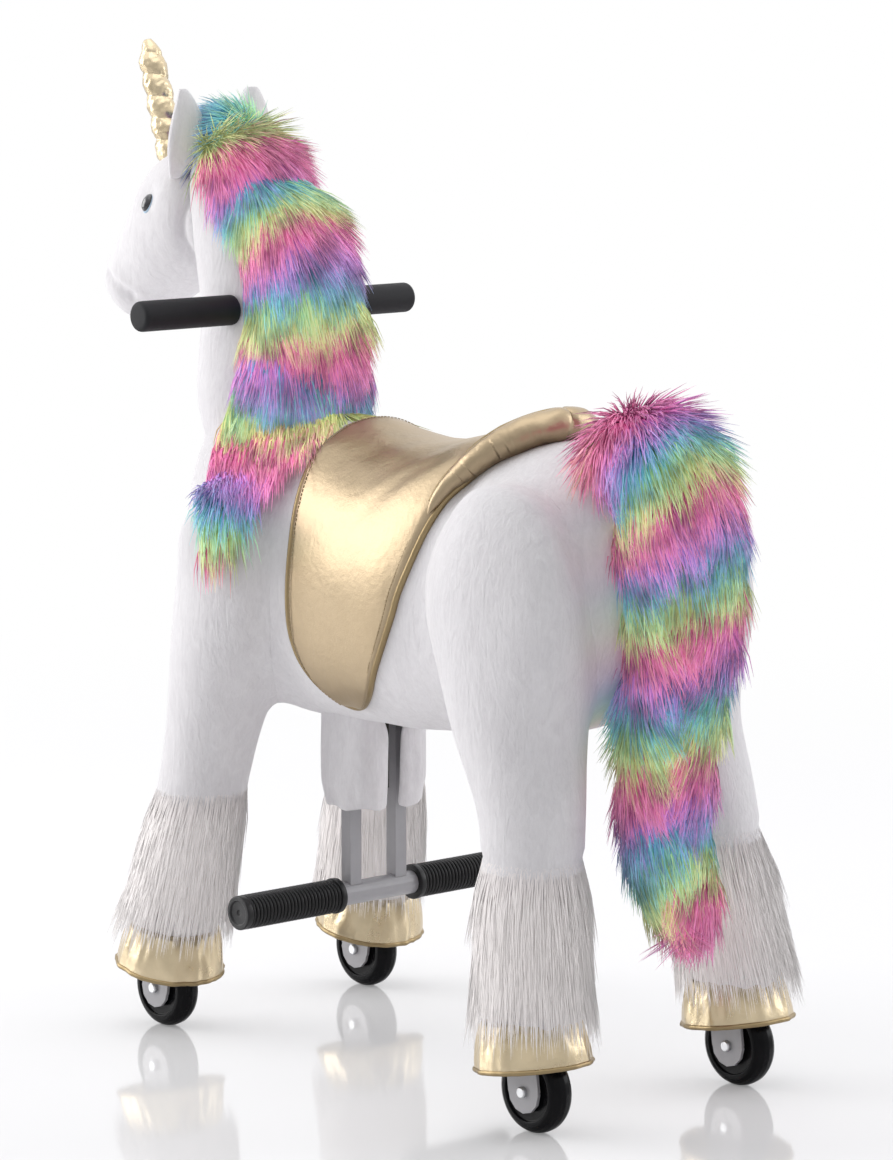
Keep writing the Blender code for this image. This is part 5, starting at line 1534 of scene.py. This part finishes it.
def strip_bed(name, side):
    """A bed that lies on the skin between the front and rear points of the rows."""
    rows = []
    grid = bmesh.new()
    for row in range(len(STRIP_ROWS) * 4 - 3):
        at = min(row / 4, len(STRIP_ROWS) - 1.001)
        low, share = int(at), at - int(at)
        x, y0, z0, y1, z1 = (mix(a, b, share) for a, b in zip(STRIP_ROWS[low], STRIP_ROWS[low + 1]))
        rows.append([])
        for k in range(STRIP_COLUMNS + 1):
            t = k / STRIP_COLUMNS
            found = on_skin(Vector((x, mix(y0, y1, t) + BODY_SHIFT, mix(z0, z1, t))), side)
            rows[-1].append(grid.verts.new(found[0] + found[1] * 0.003) if found else None)
    for low, high in zip(rows, rows[1:]):
        for k in range(STRIP_COLUMNS):
            corners = (low[k], low[k + 1], high[k + 1], high[k])
            if all(corners) and max((a.co - b.co).length for a, b in zip(corners, corners[1:])) < 0.07:
                grid.faces.new(corners)
    bmesh.ops.delete(grid, geom=[v for v in grid.verts if not v.link_faces], context="VERTS")
    for face in grid.faces:
        face.normal_update()
        if face.normal.dot(-view_way(side)) < 0:
            face.normal_flip()
    piece = new_piece(name, grid, rainbow_fur, outward=False)
    modifier(piece, "SMOOTH", factor=0.5, iterations=9)
    return combed_bed(settled(piece, 1), MANE_CHAIN, outward=0.06, ruffle=0.3, fall=0.55, straight=0.85,
                      heights=STRIP_BANDS)


for side_name, side in SIDES:
    strip = strip_bed(f"mane_strip_{side_name}", side)
    piece = fur_on(strip, f"mane_end_{side_name}", lambda p: True, rainbow_fur, 3300 + 300 * side,
                   Seed=30 + side, **MANE_LOOK)
    modifier(strip, "SOLIDIFY", thickness=0.004, offset=-1.0, use_rim=True)
    mane_parts += [settled(strip), piece]

# %% The forelock stands up between the ears and falls forwards
FORELOCK_RINGS = (
    (0, -0.3, 0.868, 0.024, 0.024, 60), (0, -0.322, 0.88, 0.026, 0.022, 75),
    (0, -0.345, 0.88, 0.022, 0.018, 95), (0, -0.362, 0.868, 0.012, 0.012, 115),
)
forelock = ring_form("forelock_bed", FORELOCK_RINGS, rainbow_fur, 10)
FORELOCK_CHAIN = shifted(((-0.27, 0.93), (-0.33, 0.905), (-0.385, 0.87)))
FORELOCK_BANDS = ((0.0, -0.15), (0.055, -0.42), (0.095, -0.6), (0.13, -0.66))
combed_bed(forelock, FORELOCK_CHAIN, FORELOCK_BANDS, outward=0.25, ruffle=0.4, slope=0.22)
tuft = fur_on(forelock, "forelock_fur", lambda p: depth_in(head_tree, p) < 0.003, rainbow_fur, 2200,
              Seed=50, Length=0.034, Radius=0.0007, Lift=0.004, Turn=0.32)
mane_parts += [forelock, tuft]
for piece in mane_parts:
    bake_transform(piece)
dressed(mane_bed, stands_for="mane")
print("mane pieces", len(mane_parts))

# %% [markdown]
# ## Tail
#
# The tail is a stuffed tube of the same rainbow fur.  It springs up from the croup in a round
# tuft, turns down and hangs in a long lock that ends in a pink point above the rear wheels.

# %% Tail bed and its locks
TAIL_RINGS = (
    (0, 0.238, 0.608, 0.03, 0.028, 95), (0, 0.264, 0.616, 0.042, 0.036, 75),
    (0, 0.298, 0.598, 0.049, 0.043, 45), (0, 0.317, 0.556, 0.049, 0.045, 15),
    (0, 0.326, 0.495, 0.042, 0.041, 0), (0, 0.325, 0.45, 0.037, 0.037, 0),
    (0, 0.314, 0.4, 0.033, 0.033, -5), (0, 0.303, 0.33, 0.03, 0.03, 0),
    (0, 0.303, 0.275, 0.03, 0.029, 5), (0, 0.316, 0.225, 0.028, 0.027, 12),
    (0, 0.331, 0.19, 0.014, 0.014, 15),
)
TAIL_CHAIN = shifted(((0.205, 0.64), (0.245, 0.66), (0.285, 0.65), (0.322, 0.605), (0.338, 0.555),
                      (0.338, 0.495), (0.332, 0.45), (0.32, 0.4), (0.308, 0.33), (0.306, 0.275),
                      (0.32, 0.215), (0.336, 0.16)))
TAIL_BANDS = (      # distance down the chain, and the number of the band there
    (0.0, 0.0), (0.06, 0.1), (0.086, 0.25), (0.112, 0.55), (0.138, 0.85), (0.165, 1.12),
    (0.256, 1.95), (0.391, 2.95), (0.527, 3.95), (0.6, 4.35),
)
tail_bed = ring_form("tail_bed", TAIL_RINGS, rainbow_fur)
combed_bed(tail_bed, TAIL_CHAIN, TAIL_BANDS, outward=0.16, fall=0.85, slope=0.2,
           lean=DOWN + TO_VIEW * 0.6)
dressed(tail_bed, TRUNK, "tail")
TAIL_FROM = 0.238 + BODY_SHIFT     # no hair on the end that is sewn to the croup
TAIL_CUTS = (("top", 0.545, 1.0), ("middle", 0.36, 0.545), ("low", 0.0, 0.36))


def free_tail(point):
    return point.y > TAIL_FROM and depth_in(body_tree, point) < 0.003


for number, (level, low, high) in enumerate(TAIL_CUTS):
    piece = fur_on(tail_bed, f"tail_fur_{level}", lambda p: low < p.z <= high and free_tail(p), rainbow_fur,
                   7000, Seed=60 + number, Length=0.058, Radius=0.0009, Lift=0.0055, Turn=0.28)
    dressed(piece, TRUNK)

# %% [markdown]
# ## Tufts over the hooves
#
# Cream fur starts at a seam above each fetlock and hangs over the hoof.  It is longer and
# straighter than the mane, so the same tree is run with longer locks and less turn.

# %% Cream fur on the lower legs
cream_fur, tree, shader = material("cream_fur", Roughness=0.7, Sheen_Weight=0.35, Sheen_Roughness=0.45)
nap = placed_group(tree, nap_group, Fibre_Scale=1500.0, Clump_Scale=260.0, Lay=0.1)
warm = mixed_colour(tree, nap["Fibres"], (0.82, 0.765, 0.755), (0.95, 0.905, 0.895))
# the tips are whiter: a painted highlight
warm = mixed_colour(tree, attribute(tree, "tip"), warm, (0.96, 0.92, 0.905))
fed(tree, shader, Base_Color=warm)
# painted glow in the cream colour, stronger towards the tips
painted_fibre_glow(tree, shader, warm, 0.07, 0.18)
TUFT_TOP, TUFT_LOW = 0.247, 0.152
TUFT_LOOK = dict(Length=0.066, Radius=0.00063, Lift=0.0018, Turn=0.13)
for part, rings in LEG_RINGS.items():
    for side_name, side in SIDES:
        leg = forms[f"plush_{part}_leg_{side_name}"]
        bed = part_of_bed(leg, f"{part}_tuft_bed_{side_name}",
                          lambda p: TUFT_LOW - 0.02 < p.z < TUFT_TOP + 0.03)
        chain = [Vector((x * side, y + BODY_SHIFT, z)) for x, y, z, *_ in rings]
        chain.append(chain[-1] + (chain[-1] - chain[-2]).normalized() * 0.05)
        combed_bed(bed, chain, outward=0.0, ruffle=0.1, tuft=0.022, flare=0.18)
        piece = fur_on(bed, f"{part}_tuft_{side_name}", lambda p: TUFT_LOW < p.z < TUFT_TOP, cream_fur,
                       6400, tree=fine_fur, softness=0.9, Seed=80 + side, **TUFT_LOOK)
        bpy.data.objects.remove(bed)
        dressed(piece, f"{part}_legs")
print("tufts grown")

# %% [markdown]
# ## Floor
#
# A glossy white floor reaches past the view.  It keeps the soft shadow and the faded mirror
# image of the toy.  Further out it glows like the backdrop for camera rays, so no horizon
# shows.

# %% Studio floor
floor_finish, tree, shader = material("studio_floor", Roughness=0.07, IOR=1.8)
soft = noise_on(tree, Scale=1.2, Detail=2.0)
fed(tree, shader, Base_Color=mixed_colour(tree, soft, (0.9, 0.895, 0.91), (0.93, 0.93, 0.94)))
reach = node(tree, "ShaderNodeVectorMath", dict(operation="LENGTH"), _0=object_coords(tree))
spread = node(tree, "ShaderNodeMapRange", dict(interpolation_type="SMOOTHSTEP"),
              Value=reach.outputs["Value"], From_Min=0.7, From_Max=2.6, To_Min=0.2, To_Max=1.0)
seen = node(tree, "ShaderNodeLightPath").outputs["Is Camera Ray"]
glow = node(tree, "ShaderNodeEmission", Color=(1, 1, 1, 1), Strength=1.0)
blend = node(tree, "ShaderNodeMixShader", _0=math_node(tree, "MULTIPLY", spread.outputs["Result"], seen),
             _1=shader.outputs[0], _2=glow.outputs[0])
fed(tree, tree.nodes["Material Output"], Surface=blend.outputs[0])
shape = bmesh.new()
bmesh.ops.create_grid(shape, x_segments=2, y_segments=2, size=9.0)
new_piece("studio_floor", shape, floor_finish, outward=False)
print("floor laid")
